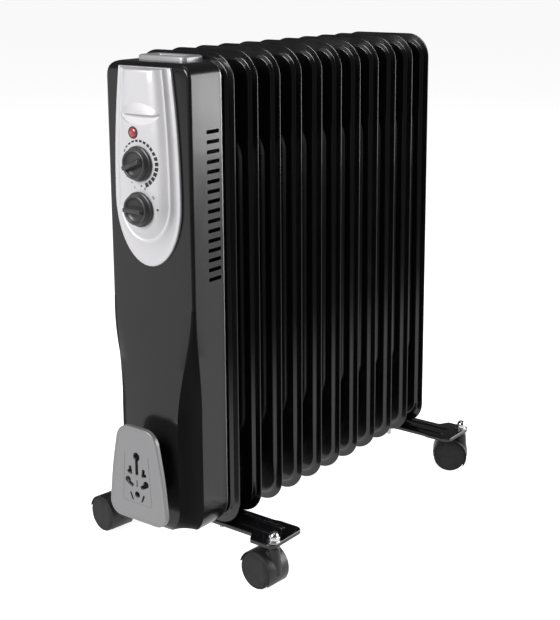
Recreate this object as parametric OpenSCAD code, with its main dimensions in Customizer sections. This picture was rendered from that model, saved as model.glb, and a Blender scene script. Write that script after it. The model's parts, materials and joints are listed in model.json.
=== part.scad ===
// Oil filled radiator heater on four casters, with the controls on its front end.
// +Z is up, the control panel faces -Y and the fins stack towards +Y.
// The origin is on the floor, in the middle plane and halfway along the heater.

/* [Fins] */
// Distance from one fin's seam to the next
fin_pitch = 43; // [40:1:54]
// Width of a fin
fin_w = 150; // [130:1:185]
// Height of a fin
fin_h = 580; // [460:1:700]
// Corner radius of a fin's outline
fin_corner = 33; // [26:1:38]
// Floor to the bottom edge of the fins
fin_lift = 61; // [58:1:70]
// Thickness of one pressed steel sheet
sheet = 0.8; // [0.6:0.1:1.2]
// Width of the flat welded flange round a fin
flange_w = 10; // [8:1:14]
// How far the oil space stands out from the seam, each way
pan_out = 4.5; // [3.5:0.5:6]
// How far the middle channel stands out from the seam, each way
channel_out = 7.5; // [7:0.5:9]
// Width of the middle channel
channel_w = 112; // [90:1:112]
// Distance from a fin's end to the middle channel
channel_gap = 86; // [82:1:100]
// Radius of the header pipe between fins
header_r = 24; // [20:0.5:26]
// Distance from a fin's end to the header's middle
header_inset = 45; // [42:1:50]
// Length of a closed header stub on the first and the last fin
stub_len = 9; // [8.5:0.5:10]

/* [Control housing] */
// Width of the housing
case_w = 130; // [118:1:150]
// Floor to the housing's lower edge
case_bottom = 65; // [64:1:80]
// Housing top below the top of the fins
case_drop = 9; // [6:1:20]
// Front face of the housing to the first seam
case_front = 66; // [60:1:78]
// Back edge of the housing to the first seam
case_back = 12; // [12:0.5:14]
// How far the lower front stands out of the upper front
nose_out = 8; // [2:1:9]
// Wall of the plastic housing
case_wall = 2.5; // [2:0.5:3.5]
// Radius of the two upper corners
case_top_r = 18; // [12:1:24]
// Radius of the two lower corners
case_low_r = 34; // [24:1:40]
// Radius of the upright front edges
case_edge_r = 7; // [4:1:9]
// Depth of the side scoop on each lower front edge, along Y
scoop_back = 18; // [10:1:26]
// Width of the side scoop on each lower front edge, along X
scoop_in = 23; // [12:1:26]
// Floor to where the scoops begin to open
scoop_top = 350; // [300:1:400]
// Height over which the scoops open
scoop_rise = 140; // [80:1:180]
// Thickness of the steel back plate
back_t = 1.2; // [1:0.1:2]
// Number of vent slots on each side
vent_count = 16; // [8:1:18]
// First vent slot below the top of the fins
vent_drop = 87; // [84:1:100]
// Distance between vent slots
vent_step = 11.5; // [9:0.1:13]
// Height of a vent slot
vent_h = 3.8; // [3:0.1:6]
// Length of a vent slot
vent_len = 22; // [16:1:26]

/* [Controls] */
// Thermostat knob below the top of the fins
thermo_drop = 123; // [110:1:140]
// Distance between the two knobs' axes
knob_step = 53; // [46:1:70]
// Radius of a knob's skirt
knob_r = 20.5; // [16:0.5:22]
// Height of a knob
knob_h = 16; // [12:0.5:20]
// Radius of a knob's shaft
shaft_r = 3; // [2.5:0.5:4]
// Angle of the thermostat's grip bar, upwards from level
thermo_rest = 22; // [-60:1:140]
// Angle of the selector's grip bar, upwards from level
selector_rest = 0; // [-10:1:100]
// Pilot lamp below the top of the fins
lamp_drop = 88; // [84:1:95]
// Radius of the pilot lamp's lens
lamp_r = 6.5; // [4:0.5:7]
// Half width of the fascia at its widest
fascia_half = 51; // [44:1:54]
// Height of the fascia
fascia_h = 232; // [220:1:250]

/* [Handle and cord store] */
// Width of the top handle
handle_w = 74; // [66:1:104]
// Depth of the top handle
handle_d = 36; // [34:1:46]
// Thickness of the top handle
handle_t = 6; // [4:0.5:8]
// Width of the handle's front bar
handle_bar = 8; // [7:1:12]
// Depth of the finger pocket under the handle
pocket_deep = 26; // [20:1:34]
// Width of the cord store plate near its lower end
plate_w = 91; // [80:1:104]
// Width of the cord store plate near its upper end
plate_top_w = 66; // [46:1:70]
// Height of the cord store plate
plate_h = 118; // [100:1:130]
// Floor to the lower edge of the cord store plate
plate_z = 87; // [80:1:95]
// Thickness of the cord store plate
plate_t = 3; // [2:0.5:4]
// Room for the cord between the plate and the housing
cord_room = 24; // [14:1:26]

/* [Feet] */
// Distance from the middle to a caster's axis
caster_x = 130; // [118:1:150]
// Distance from a bracket's middle to its casters' axes
caster_off = 25; // [20:1:28]
// Middle of the rear bracket past the last seam
rear_off = -4; // [-8:1:0]
// Width of a bracket's middle part
bracket_w = 46; // [45:1:54]
// Width of a bracket's end pad
pad_w = 62; // [58:1:70]
// How far a pad's middle lies outwards from its bracket's middle
pad_off = 6; // [0:1:8]
// Length of a bracket's end pad
pad_len = 40; // [34:1:44]
// Thickness of a bracket's steel
bracket_t = 1.5; // [1.2:0.1:2.5]
// Depth of a bracket's turned edge below its plate
lip = 3.5; // [3:0.5:5]
// Wheel diameter
wheel_d = 46; // [40:1:48]
// Thickness of one wheel disc
wheel_t = 7.5; // [5:0.5:9]
// Distance from a caster's axis to its wheel axle
trail = 16; // [15:0.5:22]
// Radius of a caster's pin
pin_r = 4; // [3:0.5:5]
// Radius of a caster's axle
axle_r = 3; // [2:0.5:4]
// Turn of each caster at rest: front left, front right, rear left, rear right
caster_yaw = [172, 176, -20, 209];

/* [Clearances] */
// Radial clearance of a shaft that turns in a bore
run_fit = 0.05; // [0.03:0.01:0.1]
// Gap between a turning part and what it passes
move_gap = 0.6; // [0.4:0.1:1]
// Radial clearance of a shaft or a lamp in a panel hole
pass_gap = 1.2; // [0.8:0.1:2]

/* [Hidden] */
$fn = 48;
fin_count = 11;
eps = 0.01;
over = 1;

// Colours
black_enamel = "#121214";
black_plastic = "#232325";
silver_plastic = "#d4d2d5";
dark_grey = "#3c3c3e";
bright_steel = "#c8c8cc";
zinc = "#9a9ca0";
brass_tone = "#b89b55";
lamp_red = "#b03038";
cream = "#e8e2d0";

// Heights
fin_top = fin_lift + fin_h;
fin_mid = fin_lift + fin_h / 2;
header_low = fin_lift + header_inset;
header_high = fin_top - header_inset;
case_top = fin_top - case_drop;
plate_level = fin_lift;
pan_w = fin_w - 2 * flange_w;
pan_h = fin_h - 2 * flange_w;
pan_r = fin_corner - flange_w;
channel_h = fin_h - 2 * channel_gap;
channel_r = min(channel_w / 2, 40);
cone_r = header_r + 8;

// Fascia and knobs, as distances in front of the first seam
rim_front = case_front + 3;
ridge_front = rim_front + 5;
dome_front = ridge_front + 7;
fascia_wall = 2.5;
knob_back = dome_front + move_gap;
knob_front = knob_back + knob_h;
thermo_z = fin_top - thermo_drop;
selector_z = thermo_z - knob_step;
lamp_z = fin_top - lamp_drop;
lamp_x = -8;
fascia_top = case_top - 5;
fascia_mid = fascia_top - fascia_h * 0.66;

// Cord store, as distances in front of the first seam
nose_front = case_front + nose_out;
plate_back = nose_front + cord_room;
plate_front = plate_back + plate_t;
post_w = 34;
post_h = 58;
post_z = plate_z + plate_h / 2 - 4;

// Places along Y: the heater reaches equally far to both sides of the origin
front_reach = max(knob_front, plate_front);
hood_r = 20;
rear_reach = (fin_count - 1) * fin_pitch + rear_off + caster_off + hood_r;
first_y = (front_reach - rear_reach) / 2;
last_y = first_y + (fin_count - 1) * fin_pitch;
case_y = first_y - case_back;
face_y = first_y - case_front;
nose_y = first_y - nose_front;
bracket_y = [first_y + fin_pitch / 2, last_y + rear_off];
u_bolt_y = [bracket_y[0], bracket_y[1] - 12];

// Feet
u_wire_r = 3;
u_arc_r = header_r + 0.4 + u_wire_r;
u_leg_end = fin_lift - 20;
wing_h = 7;
pad_end = caster_x + pad_len * 0.18;
pad_start = pad_end - pad_len;
pad_r = 9;
channel_end = pad_start + pad_r;
rib_h = 1.5;
collar_r = min(8, pad_end - caster_x - bracket_t - move_gap);
hood_top = plate_level - bracket_t - lip - move_gap;
hood_web = 18;
hood_low = 11;
wheel_r = wheel_d / 2;
wheel_in = hood_web / 2 + move_gap;
wheel_out = wheel_in + wheel_t;
fender_r = wheel_r + 2;
well_r = wheel_r + 1;
pin_low = wheel_r + 5;
nut_h = 6;
nut_r = 7.5;
dome_r = 6;
washer_t = 1.5;
washer_r = 9;

// Corners of the box: front left, front right, rear left, rear right
caster_at = [
    [-caster_x, bracket_y[0] - caster_off], [caster_x, bracket_y[0] - caster_off],
    [-caster_x, bracket_y[1] + caster_off], [caster_x, bracket_y[1] + caster_off]
];

// Points on an arc about c, from angle a to angle b
function arc(c, r, a, b, n = 6) =
    [for (k = [0:n]) c + r * [cos(a + (b - a) * k / n), sin(a + (b - a) * k / n)]];

// A rectangle w by h about the origin with round corners
module round_rect(w, h, r) {
    square([w - 2 * r, h], center = true);
    square([w, h - 2 * r], center = true);
    for (x = [-1, 1], y = [-1, 1])
        translate([x * (w / 2 - r), y * (h / 2 - r)]) circle(r);
}

// Raises an outline drawn in X and Z into a slab from y0 to y1
module slab_y(y0, y1) {
    translate([0, y1, 0]) rotate([90, 0, 0]) linear_extrude(y1 - y0) children();
}

// Raises an outline drawn in Y and Z into a slab from x0 to x1
module slab_x(x0, x1) {
    translate([x0, 0, 0]) rotate([90, 0, 90]) linear_extrude(x1 - x0) children();
}

// A cylinder along Y at x and z
module rod_y(x, z, r, y0, y1) {
    translate([x, y1, z]) rotate([90, 0, 0]) cylinder(r = r, h = y1 - y0);
}

// ---- Fins ----

// One fin's closed form, with every face moved inwards by inset
module fin_form(y, inset) {
    flat = sheet - (inset > 0 ? sheet + over : 0);
    if (flat > 0)
        slab_y(y - flat, y + flat)
            translate([0, fin_mid]) round_rect(fin_w, fin_h, fin_corner);
    slab_y(y - pan_out + inset, y + pan_out - inset)
        translate([0, fin_mid]) round_rect(pan_w - 2 * inset, pan_h - 2 * inset, pan_r - inset);
    slab_y(y - channel_out + inset, y + channel_out - inset)
        translate([0, fin_mid])
            round_rect(channel_w - 2 * inset, channel_h - 2 * inset, channel_r - inset);
    for (z = [header_low, header_high]) {
        open_end = inset > 0 ? over : 0;
        rod_y(0, z, header_r - inset, y - stub_len - open_end, y + stub_len + open_end);
        rod_y(0, z, cone_r - inset, y - channel_out + inset, y + channel_out - inset);
    }
}

// A fin is two welded sheets round an oil space that is open to both headers
module fin(i) {
    y = first_y + i * fin_pitch;
    color(black_enamel)
        difference() {
            fin_form(y, 0);
            fin_form(y, sheet);
        }
}

// Header rings at height z: a welded length of pipe between each fin and the next
module header_rings(z) {
    color(black_enamel)
        for (i = [0 : fin_count - 2]) {
            y0 = first_y + i * fin_pitch + stub_len;
            y1 = y0 + fin_pitch - 2 * stub_len;
            difference() {
                rod_y(0, z, header_r, y0, y1);
                rod_y(0, z, header_r - sheet, y0 - over, y1 + over);
            }
        }
}

plug_r = 5;
cap_t = 1.2;

// Pressed caps that close the header stubs
module header_end_caps() {
    color(black_enamel) {
        rod_y(0, header_high, header_r, first_y - stub_len - cap_t, first_y - stub_len);
        rod_y(0, header_high, header_r, last_y + stub_len, last_y + stub_len + cap_t);
        difference() {
            rod_y(0, header_low, header_r, last_y + stub_len, last_y + stub_len + cap_t);
            rod_y(0, header_low, plug_r, last_y + stub_len - over, last_y + stub_len + cap_t + over);
        }
    }
}

// Crimped plug in the oil filling hole
module filler_plug() {
    y = last_y + stub_len;
    color(zinc) {
        rod_y(0, header_low, plug_r, y - 3, y + cap_t);
        rod_y(0, header_low, plug_r + 3, y + cap_t, y + cap_t + 5);
    }
}

rod_r = 4;
rod_gap = 9;
flange_t = 5;
rod_tail = 12;

// Hexagon-headed flange of the heating element, screwed into the lower header
module element_flange() {
    y = first_y - stub_len;
    color(brass_tone)
        difference() {
            union() {
                rod_y(0, header_low, header_r + 3, y - flange_t, y);
                rod_y(0, header_low, header_r - sheet, y, y + 6);
            }
            for (x = [-1, 1], z = [-1, 1])
                rod_y(x * rod_gap, header_low + z * rod_gap, rod_r, y - flange_t - over, y + 7);
        }
}

// Two hairpin heating rods inside the lower header
module heating_rods() {
    y0 = first_y - stub_len - flange_t - rod_tail;
    y1 = last_y - fin_pitch;
    color(zinc)
        for (x = [-1, 1] * rod_gap) {
            for (z = [-1, 1] * rod_gap)
                rod_y(x, header_low + z, rod_r, y0, y1);
            translate([x, y1, header_low]) rotate([0, 90, 0])
                rotate_extrude(angle = 180) translate([rod_gap, 0]) circle(rod_r);
        }
}

// ---- Housing ----

strap_w = 70;
strap_h = 22;
strap_z = [header_high - 60, header_low + 70];

// Steel straps that carry the housing on the first fin
module housing_straps() {
    color(zinc)
        for (z = strap_z)
            translate([-strap_w / 2, first_y - case_back + back_t, z - strap_h / 2])
                cube([strap_w, case_back - back_t - channel_out, strap_h]);
}

// Front view of the housing, with its edge moved inwards by inset
module case_outline(inset) {
    half = case_w / 2;
    translate([-half + inset, case_bottom + case_low_r])
        square([case_w - 2 * inset, case_top - case_top_r - case_bottom - case_low_r]);
    translate([-half + case_top_r, case_top - case_top_r - over])
        square([case_w - 2 * case_top_r, case_top_r + over - inset]);
    translate([-half + case_low_r, case_bottom + inset])
        square([case_w - 2 * case_low_r, case_low_r + over - inset]);
    for (x = [-1, 1]) {
        translate([x * (half - case_top_r), case_top - case_top_r]) circle(case_top_r - inset);
        translate([x * (half - case_low_r), case_bottom + case_low_r]) circle(case_low_r - inset);
    }
}

// Side view of the housing, with its edge moved inwards by inset
module case_profile(inset, back_y) {
    f = face_y + inset;
    n = nose_y + inset;
    top = case_top - inset;
    low = case_bottom + inset;
    top_r = 8 - inset;
    low_r = 16 - inset;
    polygon(concat(
        [[back_y, low], [back_y, top]],
        arc([f + top_r, top - top_r], top_r, 90, 180),
        [[f, scoop_top], [n, scoop_top - scoop_rise]],
        arc([n + low_r, low + low_r], low_r, 180, 270)
    ));
}

// Plan of the housing, with its edge moved inwards by inset
module case_plan(inset, back_y) {
    w = case_w - 2 * inset;
    n = nose_y + inset;
    r = case_edge_r - inset / 2;
    translate([-w / 2, n + r]) square([w, back_y - n - r]);
    translate([-w / 2 + r, n]) square([w - 2 * r, r + over]);
    for (x = [-1, 1])
        translate([x * (w / 2 - r), n + r]) circle(r);
}

// What a side scoop takes off a lower front edge; side is -1 or 1
module scoop(side, inset) {
    x1 = case_w / 2 + over;
    x0 = case_w / 2 - scoop_in - inset * 1.4;
    y0 = nose_y - over;
    y1 = nose_y + scoop_back + inset * 1.4;
    low = case_bottom - over;
    deep = scoop_top - scoop_rise;
    hull() {
        for (z = [low, deep])
            translate([0, 0, z]) linear_extrude(eps)
                polygon([[side * x0, y0], [side * x1, y0], [side * x1, y1]]);
        translate([0, 0, scoop_top + inset]) linear_extrude(eps)
            polygon([[side * (x1 - over), y0], [side * x1, y0], [side * x1, y0 + over]]);
    }
}

// The housing's closed form, with every face moved inwards by inset
module case_form(inset, back_y) {
    difference() {
        intersection() {
            slab_y(nose_y - over, back_y) case_outline(inset);
            slab_x(-case_w / 2, case_w / 2) case_profile(inset, back_y);
            translate([0, 0, case_bottom]) linear_extrude(case_top - case_bottom)
                case_plan(inset, back_y);
        }
        for (side = [-1, 1]) scoop(side, inset);
    }
}

handle_back = case_y + 6;
pocket_w = handle_w - 22;
pocket_y0 = handle_back - handle_d + handle_bar;
pocket_y1 = case_y - case_wall;

// Finger pocket under the handle, grown by grow
module finger_pocket(grow) {
    translate([-pocket_w / 2 - grow, pocket_y0 - grow, case_top - pocket_deep - grow])
        cube([pocket_w + 2 * grow, pocket_y1 - pocket_y0 + 2 * grow, pocket_deep + grow + over]);
}

vent_top = fin_top - vent_drop;
vent_y = case_y - 4 - vent_len;
gland_y = case_y - 24;
gland_r = 7;
screw_r = 1.8;
boss_r = 5;
boss_len = 14;
boss_x = case_w / 2 - case_wall - boss_r + 1;
boss_at = [for (x = [-1, 1], z = [case_top - 24, case_bottom + 46]) [x * boss_x, z]];

// Plastic housing shell, open at the back
module housing_shell() {
    color(black_plastic)
        difference() {
            union() {
                difference() {
                    case_form(0, case_y);
                    difference() {
                        case_form(case_wall, case_y + over);
                        finger_pocket(case_wall);
                    }
                }
                for (p = boss_at) rod_y(p[0], p[1], boss_r, case_y - boss_len, case_y);
            }
            finger_pocket(0);
            for (p = boss_at) rod_y(p[0], p[1], screw_r, case_y - boss_len + 2, case_y + over);
            for (z = [thermo_z, selector_z])
                rod_y(0, z, shaft_r + pass_gap, face_y - over, face_y + 2 * case_wall);
            rod_y(lamp_x, lamp_z, lamp_r + pass_gap, face_y - over, face_y + 2 * case_wall);
            translate([0, gland_y, case_bottom - over]) cylinder(r = gland_r, h = 2 * case_wall + over);
            for (x = [-1, 1], k = [0 : vent_count - 1])
                translate([x * case_w / 2, vent_y + vent_len / 2, vent_top - k * vent_step])
                    cube([4 * case_wall, vent_len, vent_h], center = true);
        }
}

// Steel plate that closes the back of the housing
module housing_back_plate() {
    color(zinc)
        difference() {
            slab_y(case_y, case_y + back_t) case_outline(0);
            rod_y(0, header_low, header_r + 3 + pass_gap, case_y - over, case_y + back_t + over);
            for (p = boss_at) rod_y(p[0], p[1], screw_r, case_y - over, case_y + back_t + over);
        }
}

head_r = 3.6;
head_h = 2;

// Screws that hold the back plate to the shell
module housing_screws() {
    color(bright_steel)
        for (p = boss_at) {
            rod_y(p[0], p[1], screw_r, case_y - boss_len + 3, case_y + back_t);
            rod_y(p[0], p[1], head_r, case_y + back_t, case_y + back_t + head_h);
        }
}

// How much narrower the fascia is at its top, as a share
side_draw = 0.21;

// Half width of the fascia at height z, above its widest point
function side_x(half, z) =
    half * (1 - side_draw * pow((z - fascia_mid) / (fascia_top - fascia_mid), 2));

// Shield outline: slightly bulged sides and an elliptical lower end
module shield(inset, top_inset) {
    half = fascia_half - inset;
    top = fascia_top - top_inset;
    low_r = fascia_mid - (fascia_top - fascia_h) - inset;
    steps = 8;
    right = [for (k = [0:steps]) let (z = top - (top - fascia_mid) * k / steps) [side_x(half, z), z]];
    left = [for (k = [0:steps]) [-right[steps - k][0], right[steps - k][1]]];
    polygon(concat(
        right,
        [for (a = [-10:-10:-170]) [half * cos(a), fascia_mid + low_r * sin(a)]],
        left
    ));
}

ridge_in = 9;
dome_in = 18;
visor_w = 58;
visor_h = 20;
visor_deep = 3;

// Lens-shaped recess above the pilot lamp
module visor() {
    r = (pow(visor_w / 2, 2) + pow(visor_h / 2, 2)) / visor_h;
    slab_y(first_y - dome_front - over, first_y - dome_front + visor_deep)
        translate([0, lamp_z + 22])
            intersection() {
                translate([0, r - visor_h / 2]) circle(r);
                translate([0, visor_h / 2 - r]) circle(r);
            }
}

// Silver fascia that carries the knobs and the lamp, hollow behind
module control_fascia() {
    color(silver_plastic)
        difference() {
            union() {
                slab_y(first_y - rim_front, face_y) shield(0, 0);
                slab_y(first_y - ridge_front, first_y - rim_front) shield(ridge_in, 4);
                slab_y(first_y - dome_front, first_y - ridge_front) shield(dome_in, 14);
            }
            slab_y(first_y - ridge_front + fascia_wall, face_y + over)
                shield(ridge_in + fascia_wall, 4 + fascia_wall);
            slab_y(first_y - dome_front + fascia_wall, first_y - ridge_front + fascia_wall + over)
                shield(dome_in + fascia_wall, 14 + fascia_wall);
            for (z = [thermo_z, selector_z])
                rod_y(0, z, shaft_r + pass_gap, first_y - dome_front - over, face_y + over);
            rod_y(lamp_x, lamp_z, lamp_r, first_y - dome_front - over, face_y + over);
        }
}

// Flat carrying handle: a frame round the finger pocket
module top_handle() {
    color(silver_plastic)
        difference() {
            translate([0, handle_back - handle_d / 2, case_top]) linear_extrude(handle_t)
                round_rect(handle_w, handle_d, 7);
            translate([-pocket_w / 2, pocket_y0, case_top - over])
                cube([pocket_w, pocket_y1 - pocket_y0, handle_t + 2 * over]);
        }
}

// ---- Controls ----

bar_w = 8;
grip_r = knob_r - 3.5;
skirt_h = 4;

// Knob with a stepped skirt and a bar grip turned up from level, about the axis at height z
module knob(z, turned) {
    y0 = first_y - knob_front;
    y1 = first_y - knob_back;
    color(dark_grey)
        difference() {
            union() {
                rod_y(0, z, knob_r, y1 - skirt_h, y1);
                rod_y(0, z, grip_r, y1 - knob_h * 0.62, y1 - skirt_h);
                intersection() {
                    translate([0, y0, z]) rotate([0, -turned, 0])
                        translate([-knob_r, 0, -bar_w / 2]) cube([2 * knob_r, knob_h - skirt_h, bar_w]);
                    rod_y(0, z, grip_r - 1, y0, y1);
                }
            }
            rod_y(0, z, shaft_r, y1 - knob_h * 0.7, y1 + over);
        }
}

body_front = face_y + case_wall;
body_deep = 22;
shaft_in = 12;

module control_shaft(z) {
    color(bright_steel)
        rod_y(0, z, shaft_r, first_y - knob_back - knob_h * 0.7, body_front + shaft_in);
}

// A control body behind the front wall with a bush that the shaft turns in
module control_body(z, w, h, tone) {
    color(tone)
        difference() {
            translate([-w / 2, body_front, z - h / 2]) cube([w, body_deep, h]);
            rod_y(0, z, shaft_r + run_fit, body_front - over, body_front + shaft_in + move_gap);
        }
}

module thermostat_knob() { knob(thermo_z, thermo_rest); }
module selector_knob() { knob(selector_z, selector_rest); }
module thermostat_shaft() { control_shaft(thermo_z); }
module selector_shaft() { control_shaft(selector_z); }
module thermostat_body() { control_body(thermo_z, 38, 30, cream); }
module selector_switch() { control_body(selector_z, 30, 34, dark_grey); }

lens_out = 1.5;

// Red lens of the pilot lamp
module pilot_lamp_lens() {
    y = first_y - dome_front;
    color(lamp_red) {
        rod_y(lamp_x, lamp_z, lamp_r, y - lens_out, y + 5);
        rod_y(lamp_x, lamp_z, lamp_r - 1.5, y - 2 * lens_out, y - lens_out);
    }
}

// Neon lamp holder behind the lens
module pilot_lamp_body() {
    color(cream) rod_y(lamp_x, lamp_z, lamp_r - 1, first_y - dome_front + 5, body_front + 12);
}

block_w = 44;
block_z = selector_z - 110;

// Ceramic terminal block on the back plate
module terminal_block() {
    color(cream)
        difference() {
            translate([-block_w / 2, case_y - 18, block_z]) cube([block_w, 18, 22]);
            for (x = [-14, 0, 14])
                translate([x, case_y - 18 - over, block_z + 11]) rotate([-90, 0, 0]) cylinder(r = 3, h = 8);
        }
}

// Thermal cut-out clipped to the back plate above the lower header
module thermal_cutout() {
    color(dark_grey) {
        rod_y(0, header_low + 62, 9, case_y - 10, case_y);
        rod_y(0, header_low + 62, 5, case_y - 14, case_y - 10);
    }
}

gland_bore = 4.2;
gland_len = 12;

// Gland under the housing that the supply cord enters through
module cable_gland() {
    color(black_plastic)
        translate([0, gland_y, case_bottom])
            difference() {
                union() {
                    translate([0, 0, -3]) cylinder(r = gland_r + 3, h = 3);
                    cylinder(r = gland_r, h = gland_len);
                }
                translate([0, 0, -3 - over]) cylinder(r = gland_bore, h = gland_len + 3 + 2 * over);
            }
}

// ---- Cord store ----

// Hollow post that the plate stands on and the cord winds round
module cord_store_post() {
    color(black_plastic)
        slab_y(first_y - plate_back, nose_y)
            translate([0, post_z])
                difference() {
                    round_rect(post_w, post_h, 10);
                    round_rect(post_w - 6, post_h - 6, 7);
                }
}

// Outline of the plate: round corners, wider near its lower end
module plate_outline(inset) {
    low_r = 17;
    top_r = 20;
    low = plate_z + low_r;
    top = plate_z + plate_h - top_r;
    wide = plate_w / 2;
    narrow = plate_top_w / 2;
    lean = atan2(wide - low_r - (narrow - top_r) + (low_r - top_r), top - low);
    polygon(concat(
        arc([wide - low_r, low], low_r - inset, -85, lean, 8),
        arc([narrow - top_r, top], top_r - inset, lean, 90, 8),
        arc([-narrow + top_r, top], top_r - inset, 90, 180 - lean, 8),
        arc([-wide + low_r, low], low_r - inset, 180 - lean, 265, 8)
    ));
}

socket_z = plate_z + 50;
pin_hole_r = 2.7;

// Holes that a stored plug's pins push into
module pin_holes() {
    translate([0, socket_z + 26]) circle(pin_hole_r);
    translate([0, socket_z + 14]) square([2.6, 16], center = true);
    for (x = [-1, 1]) {
        translate([x * 11, socket_z + 8]) circle(pin_hole_r);
        translate([x * 13, socket_z - 5]) circle(pin_hole_r);
        translate([x * 10, socket_z - 21]) rotate(x * -25) square([2, 8], center = true);
    }
    translate([0, socket_z - 3]) square([2, 7], center = true);
    translate([0, socket_z - 16]) circle(pin_hole_r);
}

// Plate in front of the stored cord, with a turned rim
module cord_store_plate() {
    rim = 3;
    color(silver_plastic)
        difference() {
            slab_y(first_y - plate_front, first_y - plate_back + rim) plate_outline(0);
            slab_y(first_y - plate_back, first_y - plate_back + rim + over) plate_outline(rim / 2);
            slab_y(first_y - plate_front - over, first_y - plate_back + over) pin_holes();
        }
}

// ---- Feet ----

// Plan of a bracket with its pads set off towards side, moved inwards by inset
module bracket_plan(inset, side) {
    square([2 * channel_end, bracket_w - 2 * inset], center = true);
    for (x = [-1, 1])
        translate([x * (pad_start + pad_len / 2), side * pad_off])
            round_rect(pad_len - 2 * inset, pad_w - 2 * inset, pad_r - inset);
}

// Pressed steel cross bracket under two fins
module foot_bracket(k) {
    leg_hole = u_wire_r + 0.3;
    side = k == 0 ? -1 : 1;
    color(black_enamel)
        difference() {
            union() {
                translate([0, bracket_y[k], plate_level - bracket_t])
                    linear_extrude(bracket_t) bracket_plan(0, side);
                translate([0, bracket_y[k], plate_level - bracket_t - lip]) linear_extrude(lip)
                    difference() {
                        bracket_plan(0, side);
                        bracket_plan(bracket_t, side);
                    }
                for (x = [-1, 1], y = [-1, 1])
                    translate([x * (fin_w / 2 - fin_corner + pad_start) / 2,
                               bracket_y[k] + y * 10, plate_level])
                        linear_extrude(rib_h)
                            round_rect(pad_start - fin_w / 2 + fin_corner - 12, 5, 2.4);
            }
            for (x = [-1, 1])
                translate([x * u_arc_r, u_bolt_y[k], plate_level - bracket_t - over])
                    cylinder(r = leg_hole, h = bracket_t + 2 * over);
            for (c = [2 * k, 2 * k + 1])
                translate([caster_at[c][0], caster_at[c][1], plate_level - bracket_t - over])
                    cylinder(r = pin_r, h = bracket_t + 2 * over);
        }
}

// Bolt over the lower header with both legs through a bracket
module u_bolt(k) {
    color(bright_steel)
        translate([0, u_bolt_y[k], header_low]) {
            rotate([90, 0, 0]) rotate_extrude(angle = 180) translate([u_arc_r, 0]) circle(u_wire_r);
            for (x = [-1, 1])
                translate([x * u_arc_r, 0, u_leg_end - header_low])
                    cylinder(r = u_wire_r, h = header_low - u_leg_end);
        }
}

// Two wing nuts under a bracket
module wing_nuts(k) {
    color(bright_steel)
        for (x = [-1, 1])
            translate([x * u_arc_r, u_bolt_y[k], plate_level - bracket_t - wing_h])
                difference() {
                    union() {
                        cylinder(r = 6.5, h = wing_h);
                        translate([-14, -1.5, -2]) cube([28, 3, wing_h]);
                    }
                    translate([0, 0, -3]) cylinder(r = u_wire_r, h = wing_h + 4);
                }
}

// Fixed pins that the casters swivel on, each with a collar under its bracket
module caster_pins() {
    color(bright_steel)
        for (p = caster_at)
            translate([p[0], p[1], 0]) {
                translate([0, 0, pin_low])
                    cylinder(r = pin_r, h = plate_level + washer_t + nut_h - 1 - pin_low);
                translate([0, 0, hood_top + move_gap]) cylinder(r = collar_r, h = lip);
            }
}

module pin_washers() {
    color(zinc)
        for (p = caster_at)
            translate([p[0], p[1], plate_level])
                difference() {
                    cylinder(r = washer_r, h = washer_t);
                    translate([0, 0, -over]) cylinder(r = pin_r, h = washer_t + 2 * over);
                }
}

// Domed cap nuts on top of the brackets
module dome_nuts() {
    color(bright_steel)
        for (p = caster_at)
            translate([p[0], p[1], plate_level + washer_t])
                difference() {
                    union() {
                        cylinder(r = nut_r, h = nut_h, $fn = 6);
                        translate([0, 0, nut_h - 1]) sphere(dome_r);
                    }
                    translate([0, 0, -over]) cylinder(r = pin_r, h = nut_h - 1 + over);
                    translate([0, 0, -dome_r]) cylinder(r = dome_r + 1, h = dome_r);
                }
}

// Places a caster part: the swivel axis on Z, the wheel towards +X before the rest turn
module at_caster(c) {
    translate([caster_at[c][0], caster_at[c][1], 0]) rotate([0, 0, caster_yaw[c]]) children();
}

// A cylinder along the wheel's axle, from t0 to t1 across the caster
module across(r, t0, t1) {
    translate([trail, t1, wheel_r]) rotate([90, 0, 0]) cylinder(r = r, h = t1 - t0);
}

// Hood of a caster: a dome about its axis and a web and fender between the wheels
module caster_hood(c) {
    color(dark_grey)
        at_caster(c)
            difference() {
                union() {
                    rotate_extrude()
                        polygon(concat(
                            [[0, hood_low + 6], [hood_r, hood_low + 6]],
                            arc([hood_r - 14, hood_top - 14], 14, 0, 90, 8),
                            [[0, hood_top]]
                        ));
                    intersection() {
                        across(fender_r, -wheel_out, wheel_out);
                        translate([trail - fender_r, -wheel_out, wheel_r])
                            cube([2 * fender_r, 2 * wheel_out, fender_r]);
                    }
                    across(9, -hood_web / 2, hood_web / 2);
                }
                for (side = [-1, 1])
                    across(well_r, side > 0 ? hood_web / 2 : -wheel_out - over,
                           side > 0 ? wheel_out + over : -hood_web / 2);
                for (side = [-1, 1])
                    translate([-hood_r - over, side > 0 ? wheel_out : -hood_r - wheel_out - over, 0])
                        cube([2 * hood_r, hood_r + over, hood_low + 8]);
                translate([0, 0, -over]) cylinder(r = pin_r + run_fit, h = hood_top + 2 * over);
                across(axle_r + run_fit, -hood_web, hood_web);
            }
}

module caster_axle(c) {
    color(bright_steel) at_caster(c) across(axle_r, -wheel_out + 2, wheel_out - 2);
}

// Twin wheel discs pressed on the ends of one axle
module caster_wheels(c) {
    color(dark_grey)
        at_caster(c)
            for (side = [-1, 1])
                difference() {
                    union() {
                        across(wheel_r, side > 0 ? wheel_in : -wheel_out + 1,
                               side > 0 ? wheel_out - 1 : -wheel_in);
                        across(wheel_r - 2, side > 0 ? wheel_out - 1 - eps : -wheel_out,
                               side > 0 ? wheel_out : -wheel_out + 1 + eps);
                    }
                    across(axle_r, side > 0 ? 0 : -wheel_out + 2, side > 0 ? wheel_out - 2 : 0);
                }
}

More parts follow.
